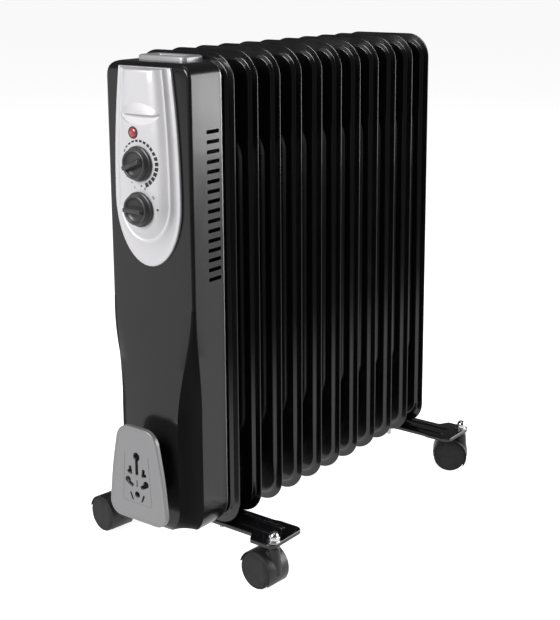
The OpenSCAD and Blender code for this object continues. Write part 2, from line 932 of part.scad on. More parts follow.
for (i = [0 : fin_count - 1])
    fin(i);
header_rings(header_high);  // header_rings_top
header_rings(header_low);  // header_rings_bottom
header_end_caps();
filler_plug();
element_flange();
heating_rods();
housing_straps();
housing_back_plate();
housing_shell();
housing_screws();
control_fascia();
top_handle();
cord_store_post();
cord_store_plate();
cable_gland();
thermostat_knob();
thermostat_shaft();
thermostat_body();
selector_knob();
selector_shaft();
selector_switch();
pilot_lamp_lens();
pilot_lamp_body();
terminal_block();
thermal_cutout();
foot_bracket(0);  // foot_bracket_front
foot_bracket(1);  // foot_bracket_rear
u_bolt(0);  // u_bolt_front
u_bolt(1);  // u_bolt_rear
wing_nuts(0);  // wing_nuts_front
wing_nuts(1);  // wing_nuts_rear
caster_pins();
pin_washers();
dome_nuts();
for (c = [0 : 3]) {
    corner = ["fl", "fr", "rl", "rr"][c];
    caster_hood(c);
    caster_axle(c);
    caster_wheels(c);
}
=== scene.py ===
"""Looks of an oil filled radiator heater with eleven pressed fins, a control housing and four casters.

Lengths are in millimetres where they are written down and in metres in the meshes.
"""

import json
import math

import bmesh
import bpy
from mathutils import Matrix, Vector


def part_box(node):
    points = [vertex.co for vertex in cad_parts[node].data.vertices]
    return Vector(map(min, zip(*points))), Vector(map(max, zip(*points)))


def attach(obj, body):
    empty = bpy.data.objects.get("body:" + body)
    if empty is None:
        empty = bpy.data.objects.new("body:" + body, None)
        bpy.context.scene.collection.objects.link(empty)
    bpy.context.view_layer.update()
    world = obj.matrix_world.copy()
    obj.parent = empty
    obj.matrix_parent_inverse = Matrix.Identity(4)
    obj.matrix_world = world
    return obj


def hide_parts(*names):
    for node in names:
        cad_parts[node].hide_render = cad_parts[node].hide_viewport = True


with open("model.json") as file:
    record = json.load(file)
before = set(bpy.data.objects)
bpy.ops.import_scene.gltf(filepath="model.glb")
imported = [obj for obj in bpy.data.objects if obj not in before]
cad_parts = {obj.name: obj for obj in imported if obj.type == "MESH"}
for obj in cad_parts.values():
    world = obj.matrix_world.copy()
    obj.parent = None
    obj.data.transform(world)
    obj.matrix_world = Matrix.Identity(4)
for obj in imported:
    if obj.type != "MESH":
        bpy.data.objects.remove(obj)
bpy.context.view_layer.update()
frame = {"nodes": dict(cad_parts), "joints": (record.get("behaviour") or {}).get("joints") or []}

MM = 0.001
CORNERS = ("fl", "fr", "rl", "rr")
CORNER_NAMES = {"fl": "front_left", "fr": "front_right", "rl": "rear_left", "rr": "rear_right"}


def low(node):
    """Lowest corner of a CAD node in millimetres."""
    return Vector(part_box(node)[0]) / MM


def high(node):
    """Highest corner of a CAD node in millimetres."""
    return Vector(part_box(node)[1]) / MM


def middle(node):
    """Middle of a CAD node's box in millimetres."""
    return (low(node) + high(node)) / 2


# ---- Materials ----


def node_material(name, colour, roughness, metallic=0.0, coat=0.0, coat_rough=0.05, specular=0.5):
    """A Principled material with its even values on the shader's own sockets."""
    material = bpy.data.materials.new(name)
    material.use_nodes = True
    shader = material.node_tree.nodes["Principled BSDF"]
    shader.inputs["Base Color"].default_value = (*colour, 1)
    shader.inputs["Roughness"].default_value = roughness
    shader.inputs["Metallic"].default_value = metallic
    shader.inputs["Coat Weight"].default_value = coat
    shader.inputs["Coat Roughness"].default_value = coat_rough
    shader.inputs["IOR"].default_value = 1.5
    shader.inputs["Specular IOR Level"].default_value = specular
    return material, shader


def noise(material, scale, detail=3.0, stretch=(1, 1, 1)):
    """A noise texture in object coordinates, stretched by a Mapping node."""
    tree = material.node_tree
    where = tree.nodes.new("ShaderNodeTexCoord")
    mapping = tree.nodes.new("ShaderNodeMapping")
    mapping.inputs["Scale"].default_value = stretch
    texture = tree.nodes.new("ShaderNodeTexNoise")
    texture.inputs["Scale"].default_value = scale
    texture.inputs["Detail"].default_value = detail
    tree.links.new(where.outputs["Object"], mapping.inputs["Vector"])
    tree.links.new(mapping.outputs["Vector"], texture.inputs["Vector"])
    return texture


def add_bump(material, shader, texture, strength, distance):
    """Raises the surface by a texture; distance is in millimetres."""
    bump = material.node_tree.nodes.new("ShaderNodeBump")
    bump.inputs["Strength"].default_value = strength
    bump.inputs["Distance"].default_value = distance * MM
    material.node_tree.links.new(texture.outputs["Fac"], bump.inputs["Height"])
    material.node_tree.links.new(bump.outputs["Normal"], shader.inputs["Normal"])


def vary_roughness(material, shader, texture, least, most):
    """Lets a texture move the roughness between two values."""
    ramp = material.node_tree.nodes.new("ShaderNodeMapRange")
    ramp.inputs["From Min"].default_value = 0.35
    ramp.inputs["From Max"].default_value = 0.65
    ramp.inputs["To Min"].default_value = least
    ramp.inputs["To Max"].default_value = most
    material.node_tree.links.new(texture.outputs["Fac"], ramp.inputs["Value"])
    material.node_tree.links.new(ramp.outputs["Result"], shader.inputs["Roughness"])


def vary_colour(material, shader, texture, dark, light):
    """Lets a texture move the colour between two tones."""
    ramp = material.node_tree.nodes.new("ShaderNodeValToRGB")
    ramp.color_ramp.elements[0].position = 0.35
    ramp.color_ramp.elements[0].color = (*dark, 1)
    ramp.color_ramp.elements[1].position = 0.65
    ramp.color_ramp.elements[1].color = (*light, 1)
    material.node_tree.links.new(texture.outputs["Fac"], ramp.inputs["Fac"])
    material.node_tree.links.new(ramp.outputs["Color"], shader.inputs["Base Color"])


def gloss_enamel():
    """Baked black enamel: a faint orange peel and a slightly uneven gloss."""
    material, shader = node_material("gloss_black_enamel", (0.006, 0.006, 0.007), 0.2, coat=0.6)
    vary_roughness(material, shader, noise(material, 24, 4), 0.16, 0.26)
    add_bump(material, shader, noise(material, 420, 2), 0.12, 0.25)
    return material


def gloss_moulding():
    """Polished black moulding with soft flow marks down its length."""
    material, shader = node_material("gloss_black_moulding", (0.008, 0.008, 0.0085), 0.2, coat=0.15)
    vary_roughness(material, shader, noise(material, 18, 5, (1, 1, 0.4)), 0.17, 0.25)
    add_bump(material, shader, noise(material, 900, 2), 0.05, 0.1)
    return material


def scoop_moulding():
    """Finely textured black moulding of the scoops and recesses."""
    material, shader = node_material("textured_black_moulding", (0.004, 0.004, 0.004), 0.5, specular=0.12)
    add_bump(material, shader, noise(material, 2200, 2), 0.3, 0.1)
    vary_roughness(material, shader, noise(material, 60, 3), 0.45, 0.58)
    return material


def flake_lacquer(name, tone, least, most):
    """Metal-flake lacquer of a given brightness, with a satin grain."""
    material, shader = node_material(name, (tone, tone * 0.985, tone * 1.01), most, metallic=0.4, coat=0.12,
                                     coat_rough=0.3)
    dark = (tone * 0.95, tone * 0.935, tone * 0.96)
    light = (tone * 1.06, tone * 1.045, tone * 1.07)
    vary_colour(material, shader, noise(material, 3000, 2), dark, light)
    vary_roughness(material, shader, noise(material, 28, 3), least, most)
    add_bump(material, shader, noise(material, 2200, 1), 0.06, 0.05)
    return material


def satin_knob():
    """Satin dark grey moulding of the knobs and the lamp's bezel."""
    material, shader = node_material("satin_dark_grey", (0.05, 0.05, 0.051), 0.34)
    vary_roughness(material, shader, noise(material, 90, 3), 0.3, 0.4)
    add_bump(material, shader, noise(material, 2400, 2), 0.15, 0.05)
    return material


def printed_ink():
    """Dark ink of the dial marks."""
    material, shader = node_material("grey_ink", (0.018, 0.017, 0.018), 0.5)
    vary_roughness(material, shader, noise(material, 1500, 2), 0.4, 0.6)
    return material


def red_lens():
    """Clear red lens over a dark holder."""
    material, shader = node_material("red_lens", (0.42, 0.045, 0.055), 0.12, coat=0.8)
    vary_colour(material, shader, noise(material, 260, 2), (0.36, 0.035, 0.045), (0.5, 0.07, 0.08))
    add_bump(material, shader, noise(material, 700, 1), 0.1, 0.1)
    return material


def polished_chrome():
    """Chrome of the cap nuts, with faint polishing marks."""
    material, shader = node_material("polished_chrome", (0.86, 0.85, 0.84), 0.06, metallic=1.0)
    vary_roughness(material, shader, noise(material, 200, 3), 0.04, 0.11)
    add_bump(material, shader, noise(material, 500, 2), 0.04, 0.05)
    return material


def plated_steel(name, colour, least, most):
    """Plated steel with fine drawn scratches along its length."""
    material, shader = node_material(name, colour, most, metallic=1.0)
    vary_roughness(material, shader, noise(material, 500, 3, (1, 1, 0.08)), least, most)
    add_bump(material, shader, noise(material, 900, 2, (1, 1, 0.1)), 0.1, 0.05)
    return material


def satin_hood():
    """Satin black moulding of the caster hoods."""
    material, shader = node_material("satin_caster_moulding", (0.014, 0.014, 0.0145), 0.36)
    vary_roughness(material, shader, noise(material, 120, 3), 0.32, 0.44)
    add_bump(material, shader, noise(material, 1800, 2), 0.12, 0.06)
    return material


def matt_disc():
    """Matt black moulding of the wheel discs, a little uneven in tone."""
    material, shader = node_material("matt_wheel_moulding", (0.014, 0.014, 0.0145), 0.52, specular=0.35)
    vary_colour(material, shader, noise(material, 160, 4), (0.011, 0.011, 0.0115), (0.018, 0.018, 0.0185))
    add_bump(material, shader, noise(material, 1500, 2), 0.2, 0.08)
    return material


def cream_ceramic():
    """Cream heat-proof moulding of the controls inside the housing."""
    material, shader = node_material("cream_ceramic", (0.72, 0.66, 0.52), 0.5)
    vary_colour(material, shader, noise(material, 220, 4), (0.64, 0.58, 0.45), (0.76, 0.7, 0.57))
    return material


def turned_brass():
    """Turned brass of the element's flange."""
    material, shader = node_material("turned_brass", (0.62, 0.44, 0.17), 0.25, metallic=1.0)
    vary_roughness(material, shader, noise(material, 600, 2, (1, 0.1, 1)), 0.2, 0.34)
    return material


ENAMEL = gloss_enamel()
GLOSS = gloss_moulding()
TEXTURED = scoop_moulding()
SILVER = flake_lacquer("silver_lacquer", 0.7, 0.4, 0.47)
HANDLE_SILVER = flake_lacquer("handle_lacquer", 0.42, 0.34, 0.42)
GREY_SILVER = flake_lacquer("satin_grey_lacquer", 0.3, 0.36, 0.45)
KNOB = satin_knob()
INK = printed_ink()
RED = red_lens()
CHROME = polished_chrome()
ZINC = plated_steel("zinc_plate", (0.44, 0.45, 0.47), 0.28, 0.4)
STEEL = plated_steel("bright_steel", (0.62, 0.62, 0.64), 0.16, 0.3)
HOOD = satin_hood()
DISC = matt_disc()
CERAMIC = cream_ceramic()
BRASS = turned_brass()

CAD_FINISH = {
    "header_end_caps": ENAMEL, "filler_plug": ZINC, "element_flange": BRASS, "heating_rods": ZINC,
    "housing_straps": ZINC, "housing_back_plate": ZINC, "housing_screws": STEEL,
    "cable_gland": TEXTURED, "thermostat_shaft": STEEL, "thermostat_body": CERAMIC,
    "selector_shaft": STEEL, "selector_switch": TEXTURED, "pilot_lamp_body": CERAMIC,
    "terminal_block": CERAMIC, "thermal_cutout": TEXTURED, "caster_pins": STEEL,
    "pin_washers": ZINC, "u_bolt_front": STEEL, "u_bolt_rear": STEEL,
    **{f"caster_axle_{c}": STEEL for c in CORNERS},
}


def finish_cad_nodes():
    """Gives the CAD nodes that stay in view their materials."""
    for node, material in CAD_FINISH.items():
        mesh = frame["nodes"][node].data
        if not mesh.materials:
            mesh.materials.append(material)
        for index in range(len(mesh.materials)):
            mesh.materials[index] = material


# ---- Mesh tools ----


def piece(name, mesh, materials, body, replaces=(), sharp=32):
    """Links a finished bmesh as a piece that rides on a body."""
    data = bpy.data.meshes.new(name)
    mesh.to_mesh(data)
    mesh.free()
    for material in materials:
        data.materials.append(material)
    data.shade_smooth()
    data.set_sharp_from_angle(angle=math.radians(sharp))
    thing = bpy.data.objects.new(name, data)
    bpy.context.scene.collection.objects.link(thing)
    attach(thing, body)
    if replaces:
        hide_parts(*replaces)
    return thing


def tidy(mesh, gap=0.004):
    """Merges doubles and turns every face outwards."""
    bmesh.ops.remove_doubles(mesh, verts=mesh.verts, dist=gap * MM)
    bmesh.ops.recalc_face_normals(mesh, faces=mesh.faces)
    return mesh


def join(target, part):
    """Adds a bmesh to another and frees it."""
    data = bpy.data.meshes.new("part")
    part.to_mesh(data)
    part.free()
    target.from_mesh(data)
    bpy.data.meshes.remove(data)
    return target


def place(mesh, matrix):
    """Moves a whole bmesh by a matrix."""
    bmesh.ops.transform(mesh, matrix=matrix, verts=mesh.verts)
    return mesh


def round_outline(w, h, r, steps=8):
    """Points round a rectangle w by h about the middle, with corners of radius r."""
    points = []
    for cx, cy, start in ((1, 1, 0), (-1, 1, 90), (-1, -1, 180), (1, -1, 270)):
        for k in range(steps + 1):
            a = math.radians(start + 90 * k / steps)
            points.append((cx * (w / 2 - r) + r * math.cos(a), cy * (h / 2 - r) + r * math.sin(a)))
    return points


def front_face(mesh, points, y, centre=(0, 0)):
    """A face that looks towards -Y, drawn as X and Z points about centre, in millimetres."""
    verts = [mesh.verts.new(((centre[0] + x) * MM, y * MM, (centre[1] + z) * MM)) for x, z in points]
    face = mesh.faces.new(verts)
    face.normal_update()
    if face.normal.y > 0:
        face.normal_flip()
    return face


def press(mesh, face, steps):
    """Insets a face step by step; each step is (inwards, outwards), in millimetres."""
    for inwards, outwards in steps:
        bmesh.ops.inset_region(mesh, faces=[face], thickness=inwards * MM, depth=outwards * MM,
                               use_even_offset=True, use_boundary=True)


def s_curve(wide, rise, steps=6):
    """Inset steps of a smooth pressed step."""
    heights = [rise * (1 - math.cos(math.pi * k / steps)) / 2 for k in range(steps + 1)]
    return [(wide / steps, heights[k + 1] - heights[k]) for k in range(steps)]


def round_over(r, steps=4):
    """Inset steps of a rounded edge that ends flat."""
    turn = [math.radians(90 * k / steps) for k in range(steps + 1)]
    return [(r * (math.cos(a) - math.cos(b)), r * (math.sin(b) - math.sin(a)))
            for a, b in zip(turn, turn[1:])]


def both_sides(mesh, y):
    """Mirrors what is built in front of a plane across Y and welds the two halves."""
    plane = Matrix.Translation((0, y * MM, 0))
    bmesh.ops.mirror(mesh, geom=mesh.verts[:] + mesh.edges[:] + mesh.faces[:], matrix=plane.inverted(),
                     merge_dist=0.002 * MM, axis="Y")
    return tidy(mesh)


def spun(profile, steps=48):
    """A solid of revolution about Z from (radius, height) points in millimetres."""
    mesh = bmesh.new()
    verts = [mesh.verts.new((r * MM, 0, z * MM)) for r, z in profile]
    edges = [mesh.edges.new((a, b)) for a, b in zip(verts, verts[1:])]
    bmesh.ops.spin(mesh, geom=verts + edges, cent=(0, 0, 0), axis=(0, 0, 1), angle=math.tau,
                   steps=steps, use_merge=True, use_duplicate=False)
    return tidy(mesh)


def along_y(mesh, x, y, z):
    """Turns a form made about Z to lie along +Y from a point in millimetres."""
    place(mesh, Matrix.Translation(Vector((x, y, z)) * MM) @ Matrix.Rotation(math.radians(-90), 4, "X"))
    return tidy(mesh)


def block(w, d, h, edge, segments=3):
    """A box about the origin with rounded edges, in millimetres."""
    mesh = bmesh.new()
    bmesh.ops.create_cube(mesh, size=1, matrix=Matrix.Diagonal((w * MM, d * MM, h * MM, 1)))
    if edge:
        bmesh.ops.bevel(mesh, geom=mesh.edges[:], offset=edge * MM, affect="EDGES", segments=segments,
                        profile=0.5, material=-1)
    return mesh


def slab(points, y0, y1, edge, centre=(0, 0), segments=3):
    """A closed slab between two Y values with rounded rims, from an outline in X and Z."""
    mesh = bmesh.new()
    front = front_face(mesh, points, y0, centre)
    result = bmesh.ops.extrude_face_region(mesh, geom=[front], use_keep_orig=True)
    verts = [v for v in result["geom"] if isinstance(v, bmesh.types.BMVert)]
    bmesh.ops.translate(mesh, vec=(0, (y1 - y0) * MM, 0), verts=verts)
    tidy(mesh)
    if edge:
        rims = [e for e in mesh.edges if len({round(v.co.y, 6) for v in e.verts}) == 1]
        bmesh.ops.bevel(mesh, geom=rims, offset=edge * MM, affect="EDGES", segments=segments,
                        profile=0.5, material=-1)
    return mesh


def loft(rings, closed=True):
    """Bridges rings of points, given in millimetres, one to the next."""
    mesh = bmesh.new()
    loops = []
    for ring in rings:
        verts = [mesh.verts.new(Vector(p) * MM) for p in ring]
        count = len(verts) if closed else len(verts) - 1
        loops.append([mesh.edges.new((verts[k], verts[(k + 1) % len(verts)])) for k in range(count)])
    for a, b in zip(loops, loops[1:]):
        bmesh.ops.bridge_loops(mesh, edges=a + b)
    return mesh, loops


def cut(thing, cutter_mesh):
    """Takes a closed bmesh out of a finished piece."""
    data = bpy.data.meshes.new("cutter")
    cutter_mesh.to_mesh(data)
    cutter_mesh.free()
    tool = bpy.data.objects.new("cutter", data)
    bpy.context.scene.collection.objects.link(tool)
    modifier = thing.modifiers.new("cut", "BOOLEAN")
    modifier.operation = "DIFFERENCE"
    modifier.solver = "EXACT"
    modifier.object = tool
    modifier.use_self = True
    graph = bpy.context.evaluated_depsgraph_get()
    result = bpy.data.meshes.new_from_object(thing.evaluated_get(graph))
    thing.modifiers.remove(modifier)
    old = thing.data
    thing.data = result
    result.name = old.name
    bpy.data.meshes.remove(old)
    bpy.data.objects.remove(tool)
    bpy.data.meshes.remove(data)
    return thing


# ---- Fins ----

SHEET = 0.8
FLANGE = 10.0
PAN_OUT = 4.5
CHANNEL_OUT = 7.5
CHANNEL_W = 112.0
CHANNEL_GAP = 86.0
HEADER_R = 24.0
CONE_R = 32.0
HEADER_INSET = 45.0
STUB = 9.0
FIN_COUNT = 11
FIN_CORNER_R = 33.0
CHANNEL_CORNER_R = 44.0
PIPE_SIDES = 56


def fin_plate(y, w, h, mid):
    """Both welded sheets of a fin: flange, pan and middle channel."""
    mesh = bmesh.new()
    face = front_face(mesh, round_outline(w, h, FIN_CORNER_R, 12), y, (0, mid))
    press(mesh, face, round_over(SHEET))
    press(mesh, face, [(FLANGE - SHEET - 2.6, 0)])
    press(mesh, face, s_curve(4.2, PAN_OUT - SHEET))
    press(mesh, face, [(1.5, 0)])
    channel = bmesh.new()
    outline = round_outline(CHANNEL_W, h - 2 * CHANNEL_GAP, CHANNEL_CORNER_R, 12)
    face = front_face(channel, outline, y, (0, mid))
    press(channel, face, [(0.01, PAN_OUT - 0.3)])
    press(channel, face, s_curve(7, CHANNEL_OUT - PAN_OUT + 0.3))
    press(channel, face, [(4, 0)])
    return join(both_sides(mesh, y), both_sides(channel, y))


def header_cups(y, z):
    """The drawn cups on both sides of a fin, out to where the pipe rings start."""
    half = [(CONE_R + 3, PAN_OUT - 1.2), (CONE_R + 1.6, PAN_OUT - 0.4), (CONE_R, PAN_OUT + 0.4)]
    steps = 6
    for k in range(1, steps + 1):
        turn = math.pi * k / steps
        r = CONE_R - (CONE_R - HEADER_R) * (1 - math.cos(turn)) / 2
        half.append((r, PAN_OUT + 0.4 + 3.6 * k / steps))
    half += [(HEADER_R, STUB), (0, STUB)]
    profile = [(r, -t) for r, t in reversed(half)] + half
    return along_y(spun(profile, PIPE_SIDES), 0, y, z)


def pipe_ring(y0, y1, z):
    """A length of header pipe between two fins, with a weld bead round its middle."""
    mid = (y1 - y0) / 2
    r = HEADER_R - 0.1
    profile = [(0, 0), (r, 0), (r, mid - 1.6), (r + 0.6, mid - 1), (r + 0.9, mid),
               (r + 0.6, mid + 1), (r, mid + 1.6), (r, 2 * mid), (0, 2 * mid)]
    return along_y(spun(profile, PIPE_SIDES), 0, y0, z)


def build_fins():
    """Every fin with its cups, and the pipe rings that join them."""
    names = [f"fin_{k + 1:02d}" for k in range(FIN_COUNT)]
    bottom, top = low("fin_01").z, high("fin_01").z
    width = high("fin_01").x - low("fin_01").x
    headers = {"header_rings_bottom": bottom + HEADER_INSET, "header_rings_top": top - HEADER_INSET}
    for name in names:
        y = middle(name).y
        mesh = fin_plate(y, width, top - bottom, (top + bottom) / 2)
        for z in headers.values():
            join(mesh, header_cups(y, z))
        piece(f"pressed_{name}", mesh, [ENAMEL], "heater", [name])
    for rings, z in headers.items():
        mesh = bmesh.new()
        for a, b in zip(names, names[1:]):
            join(mesh, pipe_ring(middle(a).y + STUB, middle(b).y - STUB, z))
        piece(f"welded_{rings}", mesh, [ENAMEL], "heater", [rings])


# ---- Housing ----

CASE_TOP_R = 18.0
CASE_LOW_R = 34.0
FRONT_TOP_R = 8.0
FRONT_LOW_R = 18.0
WALL = 2.5
SCOOP_TOP = 350.0
SCOOP_RISE = 140.0
SCOOP_BACK = 18.0
SCOOP_IN = 23.0
FACE_CROWN = 1.0
EDGE_R = 4.5
NOSE_OUT = 8.0
SIDE_STEPS = 3
CURVE_STEPS = 12
FACE_STEPS = 8
VENT_COUNT = 16
VENT_STEP = 11.5
VENT_DROP = 87
VENT_LENGTH = 22
VENT_HIGH = 4.6
POCKET_HALF = 26
POCKET_DEEP = 26
HANDLE_BAR = 8


def blend(a, b, t):
    """The value a share t of the way from a to b."""
    return a + (b - a) * t


def smooth(t):
    """A share from 0 to 1 with soft ends."""
    t = min(max(t, 0), 1)
    return t * t * (3 - 2 * t)


def corner_drop(r, gap):
    """How far an edge has drawn in at a distance gap from the end of a corner of radius r."""
    if gap >= r:
        return 0
    return r - math.sqrt(max(r * r - (r - gap) ** 2, 0))


def case_ring(z, bottom, top, half, back, nose, step):
    """One level of the housing: from the back left edge round the front to the back right edge."""
    draw = corner_drop(CASE_TOP_R, top - z) + corner_drop(CASE_LOW_R, z - bottom)
    wide = half - draw
    open_ = smooth((SCOOP_TOP - z) / SCOOP_RISE)
    lean = min(max((SCOOP_TOP - z) / SCOOP_RISE, 0), 1)
    front = nose + step * (1 - lean)
    front += corner_drop(FRONT_TOP_R, top - z) + corner_drop(FRONT_LOW_R, z - bottom)
    inwards = blend(EDGE_R, SCOOP_IN, open_)
    backwards = blend(EDGE_R, SCOOP_BACK, open_)
    inwards = min(inwards, wide - 4)
    a = Vector((wide, front + backwards))
    b = Vector((wide - inwards, front))
    hollow = Vector((wide - 0.02 * inwards, front + 0.02 * backwards))
    deep = Vector((wide - inwards * 0.82, front + backwards * 0.82))
    control = hollow.lerp(deep, open_)
    curve = []
    for k in range(CURVE_STEPS + 1):
        t = k / CURVE_STEPS
        curve.append(a * (1 - t) ** 2 + control * 2 * t * (1 - t) + b * t * t)
    side = [Vector((wide, blend(back, a.y, k / SIDE_STEPS))) for k in range(SIDE_STEPS)]
    face = []
    for k in range(1, FACE_STEPS):
        x = blend(b.x, -b.x, k / FACE_STEPS)
        face.append(Vector((x, front - FACE_CROWN * (1 - (x / b.x) ** 2))))
    right = side + curve
    left = [Vector((-p.x, p.y)) for p in reversed(right)]
    return [(p.x, p.y, z) for p in right + face + left]


def case_levels(bottom, top):
    """Heights of the housing's rings, close together where it curves."""
    turn = [90 * k / 7 for k in range(8)]
    ends_low = [bottom + CASE_LOW_R * (1 - math.cos(math.radians(a))) for a in turn]
    ends_top = [top - CASE_TOP_R * (1 - math.cos(math.radians(a))) for a in reversed(turn)]
    ends_low[0] += 0.05
    ends_top[-1] -= 0.05
    floor_of_scoop = SCOOP_TOP - SCOOP_RISE
    scoop = [floor_of_scoop + SCOOP_RISE * k / 14 for k in range(15)]
    return ends_low + [150] + scoop + [420, 520, 570] + ends_top


def vent_cutters(side_x, wide):
    """The slots in one side of the housing."""
    mesh = bmesh.new()
    first = high("fin_01").z - VENT_DROP
    y = low("housing_back_plate").y - 4 - VENT_LENGTH / 2
    for k in range(VENT_COUNT):
        slot = block(wide, VENT_LENGTH, VENT_HIGH, 1.2, 2)
        join(mesh, place(slot, Matrix.Translation(Vector((side_x, y, first - k * VENT_STEP)) * MM)))
    return mesh


def texture_scoops(mesh, rings):
    """Gives the faces of both scoops the second material."""
    first, last = SIDE_STEPS, SIDE_STEPS + CURVE_STEPS
    edges = {}
    for ring in rings:
        edges[round(ring[0][2], 3)] = (ring[first], ring[last])
    levels = sorted(edges)
    for face in mesh.faces:
        centre = face.calc_center_median() / MM
        if centre.z > SCOOP_TOP:
            continue
        below = max(level for level in levels if level <= centre.z + 0.01)
        outer, inner = edges[below]
        beside_front = abs(centre.x) > inner[0] + 0.2
        if beside_front and (abs(centre.x) < outer[0] - 0.5 or centre.y < outer[1] - 0.2):
            face.material_index = 1


def build_housing():
    """The moulded housing, open at its back, with its vents and the opening of the finger pocket."""
    bottom, top = low("housing_shell").z, high("housing_shell").z
    half = high("housing_shell").x
    back = high("housing_shell").y
    nose = low("housing_shell").y
    front = nose + FACE_CROWN
    rings = [case_ring(z, bottom, top, half, back, front, NOSE_OUT) for z in case_levels(bottom, top)]
    mesh, loops = loft(rings, closed=False)
    texture_scoops(mesh, rings)
    for ends in (0, -1):
        verts = []
        for edge in loops[ends]:
            for vert in edge.verts:
                if vert not in verts:
                    verts.append(vert)
        mesh.faces.new(verts)
    bmesh.ops.recalc_face_normals(mesh, faces=mesh.faces)
    if mesh.faces[0].normal.x * mesh.faces[0].calc_center_median().x < 0:
        bmesh.ops.reverse_faces(mesh, faces=mesh.faces)
    bmesh.ops.solidify(mesh, geom=mesh.faces[:], thickness=WALL * MM)
    tidy(mesh)
    shell = piece("moulded_housing", mesh, [GLOSS, TEXTURED], "heater",
                  ["housing_shell"], 28)
    for side in (-1, 1):
        cut(shell, vent_cutters(side * half, 16))
    y0, y1 = pocket_reach()
    mouth = block(2 * POCKET_HALF, y1 - y0, 20, 1.5)
    cut(shell, place(mouth, Matrix.Translation(Vector((0, (y0 + y1) / 2, top)) * MM)))
    build_pocket(y0, y1, top - POCKET_DEEP, top)
    shell.data.shade_smooth()
    shell.data.set_sharp_from_angle(angle=math.radians(28))


def pocket_reach():
    """Y of the finger pocket's front and back."""
    return low("top_handle").y + HANDLE_BAR, low("housing_back_plate").y - WALL


def build_pocket(y0, y1, floor_z, top):
    """The finger pocket: an open box under the handle."""
    mesh = bmesh.new()
    outer = block(2 * POCKET_HALF + 2, y1 - y0 + 2, top - floor_z, 2)
    join(mesh, place(outer, Matrix.Translation(Vector((0, (y0 + y1) / 2, (top + floor_z) / 2)) * MM)))
    lids = [f for f in mesh.faces if f.normal.z > 0.9 and f.calc_center_median().z > (top - 3) * MM]
    bmesh.ops.delete(mesh, geom=lids, context="FACES")
    bmesh.ops.solidify(mesh, geom=mesh.faces[:], thickness=-1.5 * MM)
    tidy(mesh)
    piece("finger_pocket", mesh, [TEXTURED], "heater")


# ---- Fascia ----

FASCIA_DRAW = 0.21
FASCIA_WIDEST = 0.66
FASCIA_SECTION = (
    # inwards from the sides, down from the top, up from the lower end, out from the housing's face
    (0, 0, 0, 0), (0, 0, 0, 1.9), (0.3, 0.2, 0.3, 2.6), (0.9, 0.4, 0.9, 3.0), (1.9, 0.5, 2.2, 3.1),
    (2.6, 0.6, 3.6, 2.9), (4.2, 0.7, 8.5, 3.2), (6, 0.8, 14.5, 4.0), (7.8, 0.9, 20.5, 5.3),
    (9, 1.05, 25, 6.7), (9.8, 1.2, 27.5, 7.7), (10.5, 1.3, 29, 8.3), (11.3, 1.4, 30.4, 8.5),
    (12.1, 1.5, 31.6, 8.2), (12.8, 1.6, 32.6, 7.7), (13.6, 1.7, 33.6, 7.7), (15, 1.8, 35, 8.5),
    (17, 1.95, 37, 9.9), (19.5, 2.2, 39.5, 11.5), (22, 2.5, 42, 12.8), (25, 3, 45, 13.9),
    (28, 3.8, 48, 14.6), (31, 4.8, 51, 14.95), (34, 6, 54, 15),
)
VISOR_ABOVE_LAMP = 21.5
VISOR_HALF = 30
VISOR_RISE = 13
LID_OUT = 2.6
HOLLOW_DROP = 12.5
HOLLOW_SLOPE = 0.4
SCALE_MARKS = 17
SCALE_START = 150
SCALE_TURN = 214
SCALE_R = 26.2
MARK_R = 26


def shield_ring(half, top, mid, low_r, y):
    """A level of the fascia: slightly bulged sides and an elliptical lower end."""
    sides = 12
    ends = 24
    right = [(half * (1 - FASCIA_DRAW * (1 - k / sides) ** 2), mid + (top - mid) * (1 - k / sides))
             for k in range(sides + 1)]
    lower = [(half * math.cos(math.pi * k / ends), mid - low_r * math.sin(math.pi * k / ends))
             for k in range(1, ends)]
    left = [(-x, z) for x, z in reversed(right)]
    return [(x, y, z) for x, z in right + lower + left]


def fascia_levels():
    """Half width, top, widest height and lower radius of the fascia, and its back face."""
    lo, hi = low("control_fascia"), high("control_fascia")
    mid = hi.z - (hi.z - lo.z) * FASCIA_WIDEST
    return hi.x, hi.z, mid, mid - lo.z, hi.y


def dome_y(x, z):
    """Y of the fascia's front surface near its middle, at a place on it."""
    half, top, mid, _, back = fascia_levels()
    inside = half - abs(x) / (1 - FASCIA_DRAW * max((z - mid) / (top - mid), 0) ** 2)
    for a, b in zip(FASCIA_SECTION, FASCIA_SECTION[1:]):
        if inside <= b[0]:
            t = (inside - a[0]) / max(b[0] - a[0], 1e-6)
            return back - blend(a[3], b[3], t)
    return back - FASCIA_SECTION[-1][3]


def build_fascia():
    """The domed silver shield with a raised bead inside its rim."""
    half, top, mid, low_r, back = fascia_levels()
    rings = [shield_ring(half - side, top - down, mid, low_r - up, back - out)
             for side, down, up, out in FASCIA_SECTION]
    mesh, loops = loft(rings)
    for ends in (0, -1):
        bmesh.ops.contextual_create(mesh, geom=loops[ends])
    tidy(mesh, 0.001)
    return piece("domed_fascia", mesh, [SILVER], "heater", ["control_fascia"], 50)


def lens_arc(z0, rise, count=24):
    """X and Z along an arc from one corner of the visor to the other."""
    turn = [math.pi * k / count for k in range(count + 1)]
    return [(-VISOR_HALF * math.cos(a), z0 + rise * math.sin(a) ** 1.3) for a in turn]


def lid_out(x):
    """How far the eyelid's lip stands out at a place along it, as a share of its middle."""
    return 1 - (x / VISOR_HALF) ** 2


